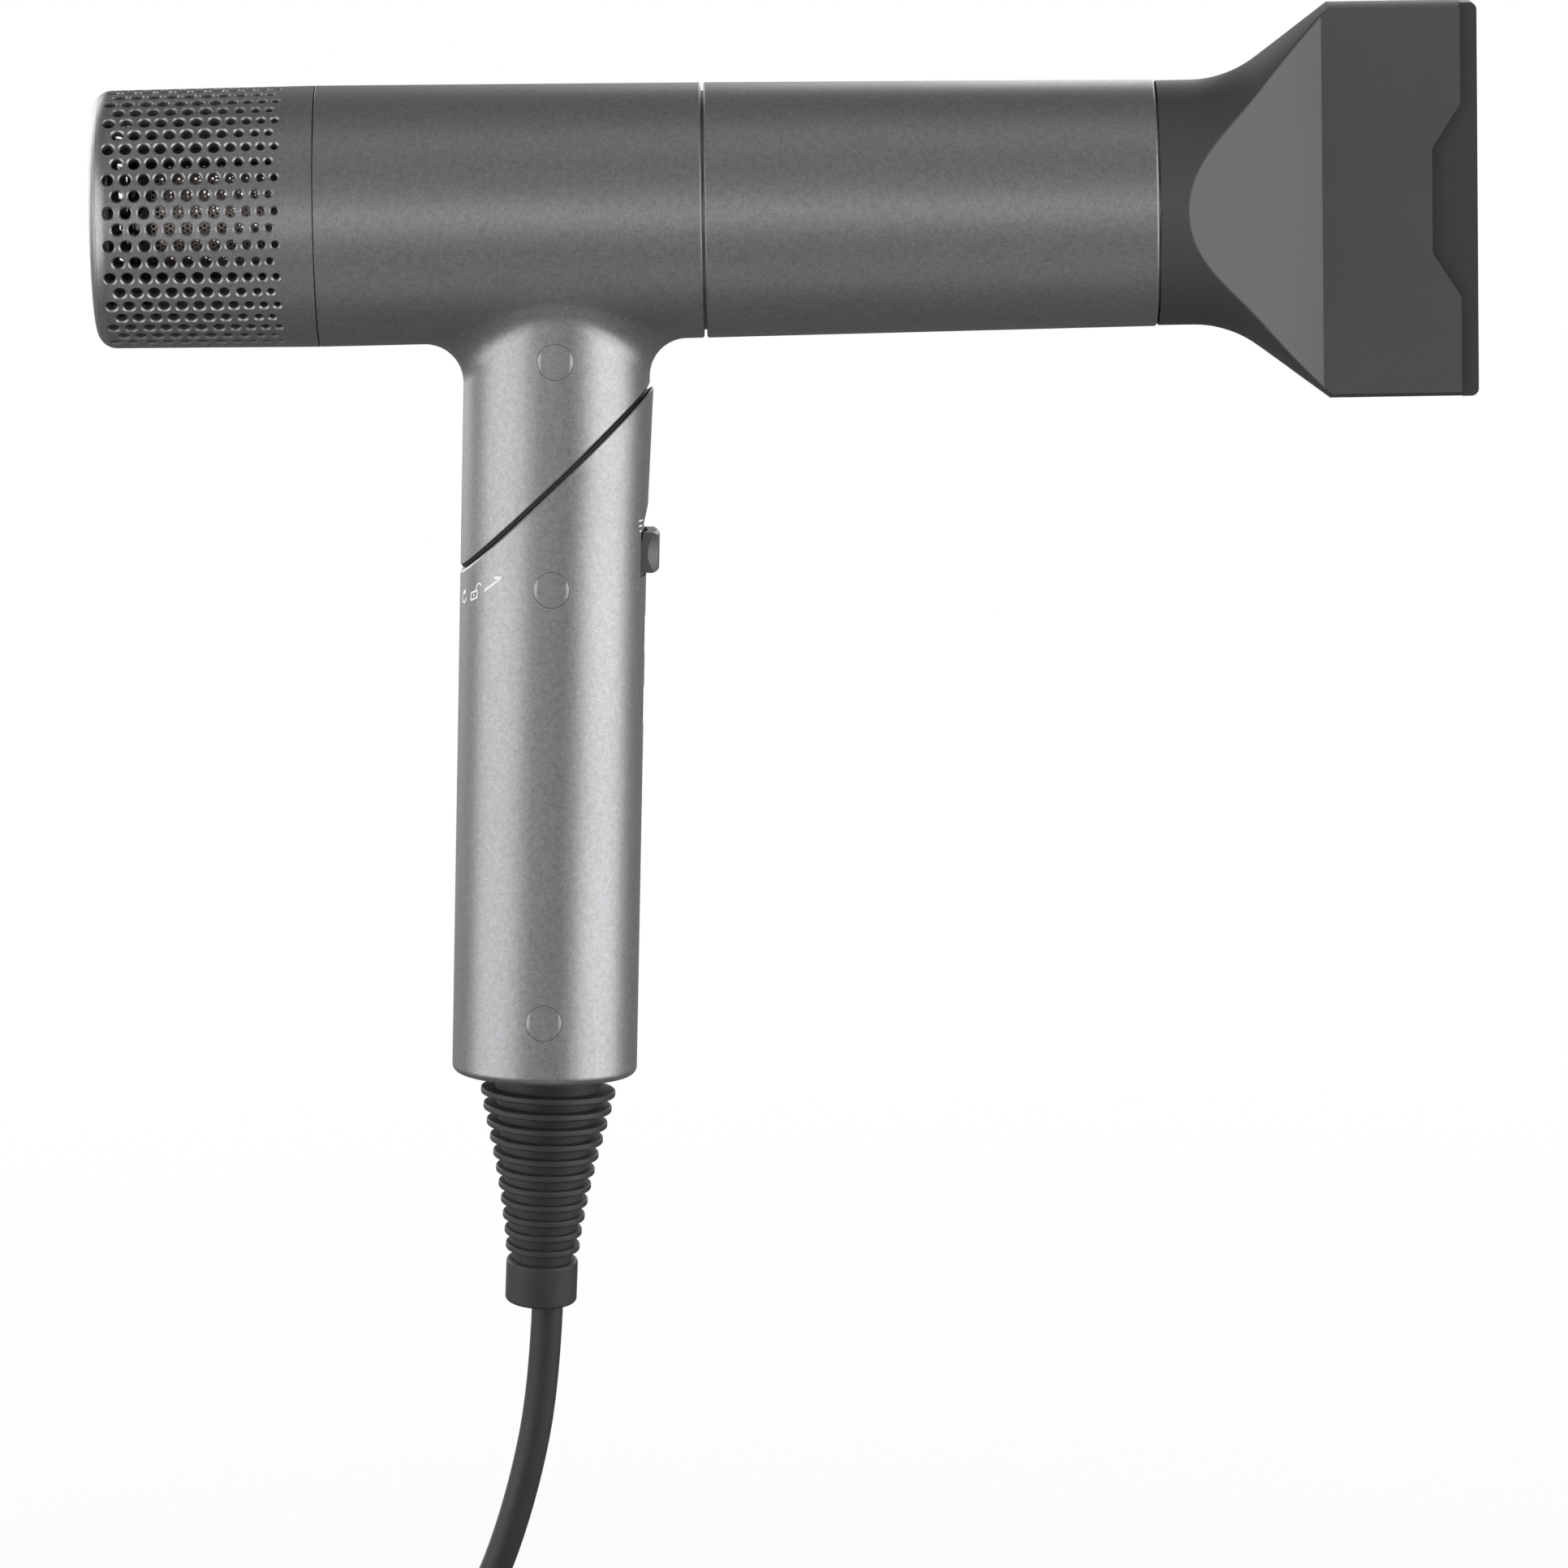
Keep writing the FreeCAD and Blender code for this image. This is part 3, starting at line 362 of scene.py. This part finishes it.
def woven_tie():
    """Hook-and-loop strap: black with a looped pile."""
    f = Finish("woven_tie", Metallic=0.0)
    loops = f.cells(1100.0)
    f.wear("Base Color", f.mix(loops, (0.012, 0.012, 0.013, 1), (0.050, 0.050, 0.053, 1)))
    f.wear("Roughness", 0.80 + loops * 0.15)
    f.wear("Normal", f.bump(loops, 0.5, 0.2 * MM))
    return f.material


def make_finishes():
    """All the finishes, by the name of their slot."""
    warm_steel = ((0.40, 0.34, 0.29, 1), (0.62, 0.54, 0.47, 1))
    hot_wire = ((0.20, 0.17, 0.15, 1), (0.46, 0.41, 0.37, 1))
    bare_copper = ((0.45, 0.18, 0.08, 1), (0.80, 0.38, 0.20, 1))
    return {
        "satin_paint": satin_paint(),
        "nozzle_plastic": nozzle_plastic(),
        "dark_plastic": dark_plastic(),
        "black_gloss": black_gloss(),
        "mesh_steel": brushed_metal("mesh_steel", *warm_steel, 0.30),
        "bright_steel": brushed_metal("bright_steel", grey(0.38), grey(0.62), 0.24,
                                      BRUSHED_ALONG_Z),
        "rubber": rubber(),
        "button_plastic": button_plastic(),
        "white_plastic": pale_plastic(),
        "mica": mica(),
        "heating_wire": brushed_metal("heating_wire", *hot_wire, 0.35),
        "copper": brushed_metal("copper", *bare_copper, 0.25, BRUSHED_ALONG_Z),
        "circuit_board": circuit_board(),
        "magnet": brushed_metal("magnet", grey(0.55), grey(0.75), 0.16),
        "brass_pins": brushed_metal("brass_pins", grey(0.52), grey(0.74), 0.18),
        "capacitor_can": brushed_metal("capacitor_can", grey(0.40), grey(0.60), 0.28,
                                       BRUSHED_ALONG_Z),
        "white_print": white_print(),
        "woven_tie": woven_tie(),
    }


# ---------------------------------------------------------------- camera, light and stage

FRAME_WIDTH = 328.44 * MM       # how much of the dryer's middle plane the camera takes in
SENSOR = 36.0
CAMERA_AWAY = 2125 * MM
CAMERA_RAISED = 8.0             # degrees
CAMERA_ROLL = 0.93              # degrees
CLIP_END = 100.0
AIM = BARREL + Vector((44.7, 0, -120.7)) * MM

# Name, azimuth and elevation in degrees, distance, width and height in metres, watts
SOFT_BOXES = (
    ("left_box", -66, 4, 1.6, 2.0, 1.5, 29),
    ("right_box", 68, 4, 1.6, 2.0, 1.5, 42),
    ("front_fill", -6, 4, 3.2, 1.6, 1.0, 9),
    ("top_box", 20, 72, 1.9, 1.2, 0.8, 1.5),
    ("low_fill", 0, -55, 1.6, 1.0, 0.8, 1.0),
    ("back_left_box", -140, 16, 2.2, 1.4, 1.4, 24),
    ("back_right_box", 160, 20, 2.2, 1.4, 1.4, 18),
)
SURROUNDINGS = 0.19             # how much light the white room gives
FLOOR_R = 30.0
FLOOR_FADE = 1.25               # the shading is full up to 0.2 m from the dryer and gone at 1 m
FLOOR_SHADE = 0.22


def camera():
    """A long lens, almost square to the dryer's side."""
    raised = math.radians(CAMERA_RAISED)
    back = Vector((0, -math.cos(raised), math.sin(raised)))
    data = bpy.data.cameras.new("camera")
    data.sensor_width = SENSOR
    data.lens = SENSOR * CAMERA_AWAY / FRAME_WIDTH
    data.clip_end = CLIP_END
    holder = bpy.data.objects.new("camera", data)
    bpy.context.scene.collection.objects.link(holder)
    level = back.to_track_quat("Z", "Y").to_matrix().to_4x4()
    roll = Matrix.Rotation(math.radians(-CAMERA_ROLL), 4, "Z")
    holder.matrix_world = Matrix.Translation(AIM + back * CAMERA_AWAY) @ level @ roll
    bpy.context.scene.camera = holder
    bpy.context.scene.view_settings.view_transform = "Standard"


def soft_box(name, azimuth, elevation, distance, width, height, power):
    """A rectangular studio light aimed at the dryer; azimuth 0 is beside the camera."""
    turn = math.radians(azimuth)
    lift = math.radians(elevation)
    away = Vector((math.sin(turn) * math.cos(lift), -math.cos(turn) * math.cos(lift),
                   math.sin(lift)))
    facing = away.to_track_quat("Z", "Y").to_matrix().to_4x4()
    data = bpy.data.lights.new(name, "AREA")
    data.shape = "RECTANGLE"
    data.size = width
    data.size_y = height
    data.energy = power
    lamp = bpy.data.objects.new(name, data)
    bpy.context.scene.collection.objects.link(lamp)
    lamp.matrix_world = Matrix.Translation(AIM + away * distance) @ facing


def lights():
    """Soft boxes in a room that looks white and gives a weaker light of its own."""
    for box in SOFT_BOXES:
        soft_box(*box)
    world = bpy.data.worlds.new("studio")
    bpy.context.scene.world = world
    room = Nodes(world, "ShaderNodeOutputWorld")
    seen = room.node("ShaderNodeBackground", {}, {"Color": grey(1.0)})
    fill = room.node("ShaderNodeBackground", {}, {"Color": grey(1.0), "Strength": SURROUNDINGS})
    camera_ray = room.node("ShaderNodeLightPath", {}, {}, "Is Camera Ray")
    blend = room.node("ShaderNodeMixShader", {}, {0: camera_ray, 1: fill, 2: seen})
    room.feed(room.output.inputs["Surface"], blend)


def floor(surface):
    """A pale table top: it takes a faint shadow near the cord and fades into the white room."""
    bpy.ops.mesh.primitive_circle_add(vertices=96, radius=FLOOR_R, fill_type="NGON",
                                      location=(0, 0, surface))
    top = named("floor")
    settle(top)
    f = Finish("floor", Base_Color=grey(0.9), Roughness=1.0, Specular_IOR_Level=0.0)
    distance = f.node("ShaderNodeVectorMath", {"operation": "LENGTH"}, {0: f.place()}, "Value")
    near = (FLOOR_FADE - distance * FLOOR_FADE).clamped()
    glow = f.node("ShaderNodeEmission", {}, {})
    blend = f.node("ShaderNodeMixShader", {}, {0: near * FLOOR_SHADE, 1: glow, 2: f.lit})
    f.feed(f.output.inputs["Surface"], blend)
    dress(top, f.material)
    top.visible_glossy = False
    top.visible_diffuse = False


# ---------------------------------------------------------------- power cord

# The route, the coil, the tail and the strap are in millimetres, and the angles in degrees
CORD_D = 6.6 * MM
CORD_ROUTE = [                  # the hanging part, from the end of the relief
    (-2.4, 3.9, -105.35),
    (-3.6, 6.7, -124.4),
    (-8.2, 9.2, -146.5),
    (-15.5, 12.0, -168.0),
    (-25.0, 16.0, -184.5),
    (-38.0, 21.5, -195.8),
]
SETTLING = (2.0, 4.5, 1.4)      # lifts of the three points at the landing, for an easy bend
COIL_MID_R = 36.0
COIL_TURN_PITCH = 6.7
COIL_TURNS_A_LAYER = 2.2
COIL_LAYERS = 3
STEPS_A_TURN = 16
SINKING = 0.14                  # the last share of a layer, where the cord drops to the next
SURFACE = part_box("cord_coil")[0][2]     # what the coil lies on, in metres
LEAVE_ANGLE = -76.0             # where the cord leaves the coil
LEAVING_STEPS = (12.0, 28.0)    # two points straight on from there
TAIL_RUNS = (12.0, 18.0, 26.0)  # to the foot of the rise, up to the plug's height, into the plug
TAIL_TURN = 12.0
PLUG_HALF_HEIGHT = 6.8
TIE_ANGLE = 165.0               # where the strap holds the coil
TIE_WIDTH = 9.0
TIE_ROOM_INSIDE = 1.35          # from the turns to the strap's outer side
TIE_ROOM_OUTSIDE = 1.05
TIE_ROOM_ABOVE = 1.15
TIE_CORNER = 3.6
TIE_THICKNESS = 0.8
TIE_EDGE = 0.2


def heading(angle):
    """The level direction at this angle from the X axis."""
    return Matrix.Rotation(math.radians(angle), 3, "Z") @ X


def coil_place():
    """The coil's centre, where the cord lands on its top layer, and half its turns' breadth."""
    last = Vector(CORD_ROUTE[-1])
    lead = (last - Vector(CORD_ROUTE[-2])).normalized()
    top = SURFACE / MM + (COIL_LAYERS - 0.5) * CORD_D / MM
    landing = last + lead * ((top - last.z) / lead.z)
    onwards = Vector((lead.x, lead.y, 0)).normalized()
    spread = COIL_TURNS_A_LAYER * COIL_TURN_PITCH / 2
    centre = Vector((landing.x, landing.y, 0)) + Z.cross(onwards) * (COIL_MID_R - spread)
    return centre, landing, spread


def coil_points(centre, landing, spread):
    """The cord's line round the coil: outwards on top, inwards, and outwards at the bottom."""
    start = math.atan2(landing.y - centre.y, landing.x - centre.x)
    turns = COIL_TURNS_A_LAYER * COIL_LAYERS
    leave = math.radians(LEAVE_ANGLE)
    whole = turns + ((leave - start) / (2 * math.pi) - turns) % 1.0
    if whole - turns > 0.5:
        whole -= 1.0
    steps = round(whole * STEPS_A_TURN)
    points = []
    for k in range(1, steps + 1):
        done = whole * k / steps
        angle = start + 2 * math.pi * done
        layer = min(done / whole * COIL_LAYERS, COIL_LAYERS - 0.001)
        within = layer - int(layer)
        outwards = within if int(layer) % 2 == 0 else 1 - within
        radius = COIL_MID_R - spread + 2 * spread * outwards
        on_last = int(layer) == COIL_LAYERS - 1
        sinking = 0.0 if on_last else max(0.0, (within - (1 - SINKING)) / SINKING)
        drop = int(layer) + sinking * sinking * (3 - 2 * sinking)
        height = landing.z - drop * CORD_D / MM
        point = centre + Vector((radius * math.cos(angle), radius * math.sin(angle), height))
        points.append(point)
    return points


def power_cord(finish):
    """The mains cord: hanging from its relief, wound into a tied coil, with its plug beside it."""
    centre, landing, spread = coil_place()
    route = [Vector(p) for p in CORD_ROUTE]
    coil = coil_points(centre, landing, spread)
    for point, lift in zip((route[-1], landing, coil[0]), SETTLING):
        point.z += lift
    away = heading(LEAVE_ANGLE + 90)
    leave = centre + heading(LEAVE_ANGLE) * (COIL_MID_R + spread)
    leave.z = SURFACE / MM + CORD_D / MM / 2
    leaving = [leave + away * step for step in LEAVING_STEPS]
    foot = leaving[-1] + away * TAIL_RUNS[0]
    knee = foot + away * TAIL_RUNS[1] + Z * (PLUG_HALF_HEIGHT - CORD_D / MM / 2)
    end = knee + heading(LEAVE_ANGLE + 90 + TAIL_TURN) * TAIL_RUNS[2]
    points = route + [landing] + coil + leaving + [foot, knee, end]
    data = bpy.data.curves.new("power_cord", "CURVE")
    data.dimensions = "3D"
    spline = data.splines.new("NURBS")
    spline.points.add(len(points) - 1)
    for point, place in zip(spline.points, points):
        point.co = (*(place * MM), 1.0)
    spline.order_u = 3
    spline.use_endpoint_u = True
    spline.resolution_u = 6
    data.bevel_depth = CORD_D / 2
    data.bevel_resolution = 5
    data.use_fill_caps = True
    cord = bpy.data.objects.new("power_cord_line", data)
    bpy.context.scene.collection.objects.link(cord)
    dress(cord, finish["rubber"])
    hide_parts("power_cord", "cord_coil", "cord_tail")
    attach(cord, "grip")
    tie = coil_tie(centre, finish)


def coil_tie(centre, finish):
    """A strap over the coil's turns and down to the surface on both sides."""
    half = COIL_TURNS_A_LAYER * COIL_TURN_PITCH / 2 + CORD_D / MM / 2
    inside = (-half - TIE_ROOM_INSIDE) * MM
    outside = (half + TIE_ROOM_OUTSIDE) * MM
    tall = COIL_LAYERS * CORD_D + TIE_ROOM_ABOVE * MM
    bpy.ops.mesh.primitive_cube_add(size=1, location=(0, (inside + outside) / 2, tall / 2),
                                    scale=(TIE_WIDTH * MM, outside - inside, tall))
    tie = named("cord_tie_strap")
    settle(tie)
    bpy.ops.object.mode_set(mode="EDIT")
    bpy.ops.mesh.select_mode(type="FACE")
    bpy.ops.mesh.select_all(action="DESELECT")
    bpy.ops.object.mode_set(mode="OBJECT")
    for face in tie.data.polygons:
        face.select = abs(face.normal.x) > 0.9 or face.normal.z < -0.9
    bpy.ops.object.mode_set(mode="EDIT")
    bpy.ops.mesh.delete(type="FACE")
    bpy.ops.mesh.select_mode(type="EDGE")
    bpy.ops.mesh.select_all(action="DESELECT")
    bpy.ops.object.mode_set(mode="OBJECT")
    for edge in tie.data.edges:
        a, b = (tie.data.vertices[v].co for v in edge.vertices)
        edge.select = abs(a.x - b.x) > TIE_WIDTH / 2 * MM and a.z > tall / 2
    bpy.ops.object.mode_set(mode="EDIT")
    bpy.ops.mesh.bevel(offset=TIE_CORNER * MM, segments=6)
    bpy.ops.mesh.select_mode(type="VERT")
    bpy.ops.object.mode_set(mode="OBJECT")
    finish_modifier(tie, "SOLIDIFY", thickness=TIE_THICKNESS * MM, offset=-1.0)
    finish_modifier(tie, "BEVEL", width=TIE_EDGE * MM, segments=2, limit_method="ANGLE")
    smooth(tie)
    tie.rotation_euler = (0, 0, math.radians(TIE_ANGLE - 90))
    tie.location = (centre + heading(TIE_ANGLE) * COIL_MID_R) * MM + Z * SURFACE
    settle(tie)
    dress(tie, finish["woven_tie"])
    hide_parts("coil_tie")
    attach(tie, "grip")
    return tie


# ---------------------------------------------------------------- filter sleeve

MESH_R = 18.6 * MM
MESH_START = -83.9 * MM
MESH_END = -58.4 * MM
MESH_FIRST_ROW = 0.6 * MM       # the first row of holes, from the start
MESH_PITCH = 1.0 * MM
MESH_HOLE_R = 0.33 * MM
MESH_WALL = 0.25 * MM
MESH_MERGE = 0.02 * MM


def repeat(piece, count, step):
    """Repeats a piece along a step, with its neighbours' edges merged."""
    finish_modifier(piece, "ARRAY", count=count, use_relative_offset=False,
                    use_constant_offset=True, constant_offset_displace=step,
                    use_merge_vertices=True, merge_threshold=MESH_MERGE)


def filter_sleeve(finish):
    """The fine sleeve behind the intake holes: one pierced hexagon, repeated and rolled up."""
    round_count = 2 * round(math.pi * MESH_R / MESH_PITCH)
    pitch = 2 * math.pi * MESH_R / round_count
    bpy.ops.mesh.primitive_circle_add(vertices=6, radius=pitch / math.sqrt(3), fill_type="NGON")
    sleeve = named("filter_sleeve")
    use(sleeve)
    bpy.ops.object.mode_set(mode="EDIT")
    bpy.ops.mesh.select_all(action="SELECT")
    bpy.ops.mesh.inset(thickness=pitch / 2 - MESH_HOLE_R)
    bpy.ops.mesh.delete(type="FACE")
    bpy.ops.object.mode_set(mode="OBJECT")
    row = pitch * math.sqrt(3) / 2
    along_x = sleeve.dimensions.x > sleeve.dimensions.y
    sideways = (0, pitch, 0) if along_x else (pitch, 0, 0)
    repeat(sleeve, round_count, sideways)
    twin = sleeve.copy()
    twin.data = sleeve.data.copy()
    bpy.context.scene.collection.objects.link(twin)
    shift = (row, pitch / 2, 0) if along_x else (pitch / 2, row, 0)
    twin.data.transform(Matrix.Translation(shift))
    deselect_all()
    twin.select_set(True)
    sleeve.select_set(True)
    bpy.context.view_layer.objects.active = sleeve
    bpy.ops.object.join()
    forwards = (2 * row, 0, 0) if along_x else (0, 2 * row, 0)
    rows = int((MESH_END - MESH_START) / (2 * row))
    repeat(sleeve, rows, forwards)
    for vertex in sleeve.data.vertices:
        length, girth = vertex.co.xy if along_x else vertex.co.yx
        angle = girth / MESH_R
        vertex.co = (MESH_START + MESH_FIRST_ROW + length,
                     MESH_R * math.cos(angle), MESH_R * math.sin(angle))
    use(sleeve)
    bpy.ops.object.mode_set(mode="EDIT")
    bpy.ops.mesh.select_all(action="SELECT")
    bpy.ops.mesh.remove_doubles(threshold=MESH_MERGE)
    bpy.ops.mesh.normals_make_consistent(inside=False)
    bpy.ops.object.mode_set(mode="OBJECT")
    finish_modifier(sleeve, "SOLIDIFY", thickness=MESH_WALL, offset=-1.0)
    smooth(sleeve)
    to_barrel(sleeve)
    dress(sleeve, finish["mesh_steel"])
    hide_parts("filter_mesh")
    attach(sleeve, "head")


# ---------------------------------------------------------------- printed marks

INK_LIFT = 0.02 * MM            # the middle of the ink, above the handle's surface
INK_THICKNESS = 0.04 * MM
INK_STEP = 0.45                 # millimetres between the points of a ribbon, so that it wraps well
ARC_STEP = 18.0                 # degrees between the points of a drawn arc
RELEASE_MARK_AT = 44.1          # millimetres up the handle, at the back
RELEASE_MARK_RISE = 0.66        # how steeply the mark climbs, for a cut of 1
AIRFLOW_MARKS_AT = 59.5
AIRFLOW_MARKS_TURN = -21.0      # degrees round the handle from its front


def stroke(points, width):
    """A flat ribbon of ink along points of (arc, height) in millimetres, on the unrolled handle."""
    fine = [Vector(points[0])]
    for start, end in zip(points, points[1:]):
        run = Vector(end) - Vector(start)
        steps = max(1, math.ceil(run.length / INK_STEP))
        fine += [Vector(start) + run * (k / steps) for k in range(1, steps + 1)]
    bpy.ops.mesh.primitive_grid_add(x_subdivisions=len(fine) - 1, y_subdivisions=1, size=1)
    ribbon = named("stroke")
    for vertex in ribbon.data.vertices:
        k = round((vertex.co.x + 0.5) * (len(fine) - 1))
        before = fine[max(k - 1, 0)]
        after = fine[min(k + 1, len(fine) - 1)]
        side = (after - before).normalized().orthogonal() * width / 2
        place = fine[k] + side * (1 if vertex.co.y > 0 else -1)
        vertex.co = (place.x, place.y, 0)
    return ribbon


def arc(middle, radius, start, end):
    """Points along a part of a circle, between two angles in degrees."""
    steps = max(4, round(abs(end - start) / ARC_STEP))
    angles = [math.radians(start + (end - start) * k / steps) for k in range(steps + 1)]
    return [(middle[0] + radius * math.cos(a), middle[1] + radius * math.sin(a)) for a in angles]


def printed(name, ribbons, wrap, finish):
    """Joins ribbons and wraps their drawing onto the handle."""
    deselect_all()
    for ribbon in ribbons:
        ribbon.select_set(True)
    bpy.context.view_layer.objects.active = ribbons[0]
    bpy.ops.object.join()
    mark = named(name)
    for vertex in mark.data.vertices:
        vertex.co = wrap(vertex.co.x, vertex.co.y)
    finish_modifier(mark, "SOLIDIFY", thickness=INK_THICKNESS, offset=0.0)
    dress(mark, finish["white_print"])
    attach(mark, "grip")


def release_mark(finish):
    """Beside the fold: a turn sign, an open padlock and a half-headed arrow, following the cut."""
    def wrap(arc_length, height):
        angle = arc_length / (HANDLE_R / MM)
        rise = RELEASE_MARK_RISE * HANDLE_R * (1 - math.cos(angle))
        along = RELEASE_MARK_AT * MM + height * MM + rise
        return handle_point(along, -180 + math.degrees(angle), HANDLE_R + INK_LIFT)

    turn_sign = [stroke(arc((6.6, 0.1), 1.15, 60, 350), 0.36),
                 stroke([(7.3, 1.75), (7.25, 0.9), (6.5, 0.75)], 0.34)]
    body = [(10.1, -1.15), (12.5, -1.15), (12.5, 0.35), (10.1, 0.35), (10.1, -1.15)]
    shackle = [(12.2, 0.35), (12.2, 0.75)] + arc((13.0, 0.8), 0.8, 180, 0)
    keyhole = [(11.3, -0.65), (11.3, -0.15)]
    lock = [stroke(body, 0.36), stroke(shackle, 0.34), stroke(keyhole, 0.4)]
    arrow = [stroke([(14.9, -0.55), (19.5, 0.25)], 0.56), stroke([(19.5, 0.25), (17.5, 1.15)], 0.5)]
    printed("release_mark", turn_sign + lock + arrow, wrap, finish)


def airflow_marks(finish):
    """Beside the slider's top: three bars, longer for more air."""
    def wrap(arc_length, height):
        angle = AIRFLOW_MARKS_TURN + math.degrees(arc_length / (HANDLE_R / MM))
        return handle_point(height * MM, angle, HANDLE_R + INK_LIFT)

    bars = []
    for k in range(3):
        half = 0.5 + 0.35 * k
        height = AIRFLOW_MARKS_AT + 1.1 * k
        bars.append(stroke([(-half, height), (half, height)], 0.34))
    printed("airflow_marks", bars, wrap, finish)


# ---------------------------------------------------------------- soft edges

CAP_EDGE = 0.12 * MM
LINER_EDGE = 0.25 * MM
SAME_POINT = 0.002 * MM
HARD_EDGE = 35.0                # degrees
SMOOTH_BEND = 18.0              # less than the bend between a rounding's own facets


def softened(node, body, slot, width, finish, flat=1.0):
    """Stands for a node with the same shape, its hard edges rounded as a mould leaves them.

    Facets that bend less than flat, in degrees, are first made one face.
    """
    source = NODES[node]
    piece = source.copy()
    piece.data = source.data.copy()
    piece.name = node + "_soft"
    bpy.context.scene.collection.objects.link(piece)
    use(piece)
    bpy.ops.object.mode_set(mode="EDIT")
    bpy.ops.mesh.select_all(action="SELECT")
    bpy.ops.mesh.remove_doubles(threshold=SAME_POINT)
    bpy.ops.mesh.dissolve_limited(angle_limit=math.radians(flat))
    bpy.ops.object.mode_set(mode="OBJECT")
    finish_modifier(piece, "BEVEL", width=width, segments=2, limit_method="ANGLE",
                    angle_limit=math.radians(HARD_EDGE), use_clamp_overlap=True)
    smooth(piece, SMOOTH_BEND)
    dress(piece, finish[slot])
    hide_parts(node)
    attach(piece, body)


# ---------------------------------------------------------------- fold

# The ring below is painted shade: a dark piece that keeps the fold's gap black
GAP_SHADE_R = 18.95 * MM
GAP_SHADE_WIDTH = 3.6 * MM
GAP_SHADE_HEIGHT = 0.5 * MM
GAP_SHADE_EDGE = 0.15 * MM


def fold_gap_shade_ring(finish):
    """A dark rubber ring in the slanted gap between the two halves of the handle: painted shade, put there so that
    the gap reads black and no light shows through it.
    """
    bpy.ops.mesh.primitive_circle_add(vertices=96, radius=GAP_SHADE_R, fill_type="NGON")
    gap_shade = named("fold_gap_shade_ring")
    use(gap_shade)
    bpy.ops.object.mode_set(mode="EDIT")
    bpy.ops.mesh.select_all(action="SELECT")
    bpy.ops.mesh.inset(thickness=GAP_SHADE_WIDTH)
    bpy.ops.mesh.delete(type="FACE")
    bpy.ops.object.mode_set(mode="OBJECT")
    down_the_slope = Y.cross(FOLD_AXIS).normalized() * math.sqrt(2)     # the cut is at 45 degrees
    for vertex in gap_shade.data.vertices:
        vertex.co = FOLD_AT + down_the_slope * vertex.co.x + Y * vertex.co.y
    finish_modifier(gap_shade, "SOLIDIFY", thickness=GAP_SHADE_HEIGHT, offset=0.0)
    finish_modifier(gap_shade, "BEVEL", width=GAP_SHADE_EDGE, segments=2, limit_method="ANGLE")
    smooth(gap_shade)
    # Painted shade: dark rubber standing in for the shadow inside the gap
    dress(gap_shade, finish["rubber"])
    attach(gap_shade, "grip")


# ---------------------------------------------------------------- putting it together

def dress_nodes(finish):
    """Every node kept from the model gets its slot's finish."""
    for part in frame["record"]["subparts"]:
        node = NODES[part["node"]]
        dress(node, finish[part["material_slot"]])


finishes = make_finishes()
dress_nodes(finishes)
camera()
power_cord(finishes)
lights()
floor(SURFACE)
filter_sleeve(finishes)
softened("handle_screw_caps", "grip", "satin_paint", CAP_EDGE, finishes, flat=0.02)
softened("upper_screw_cap", "head", "satin_paint", CAP_EDGE, finishes, flat=0.02)
fold_gap_shade_ring(finishes)
softened("nozzle_liner", "nozzle", "dark_plastic", LINER_EDGE, finishes)
release_mark(finishes)
airflow_marks(finishes)
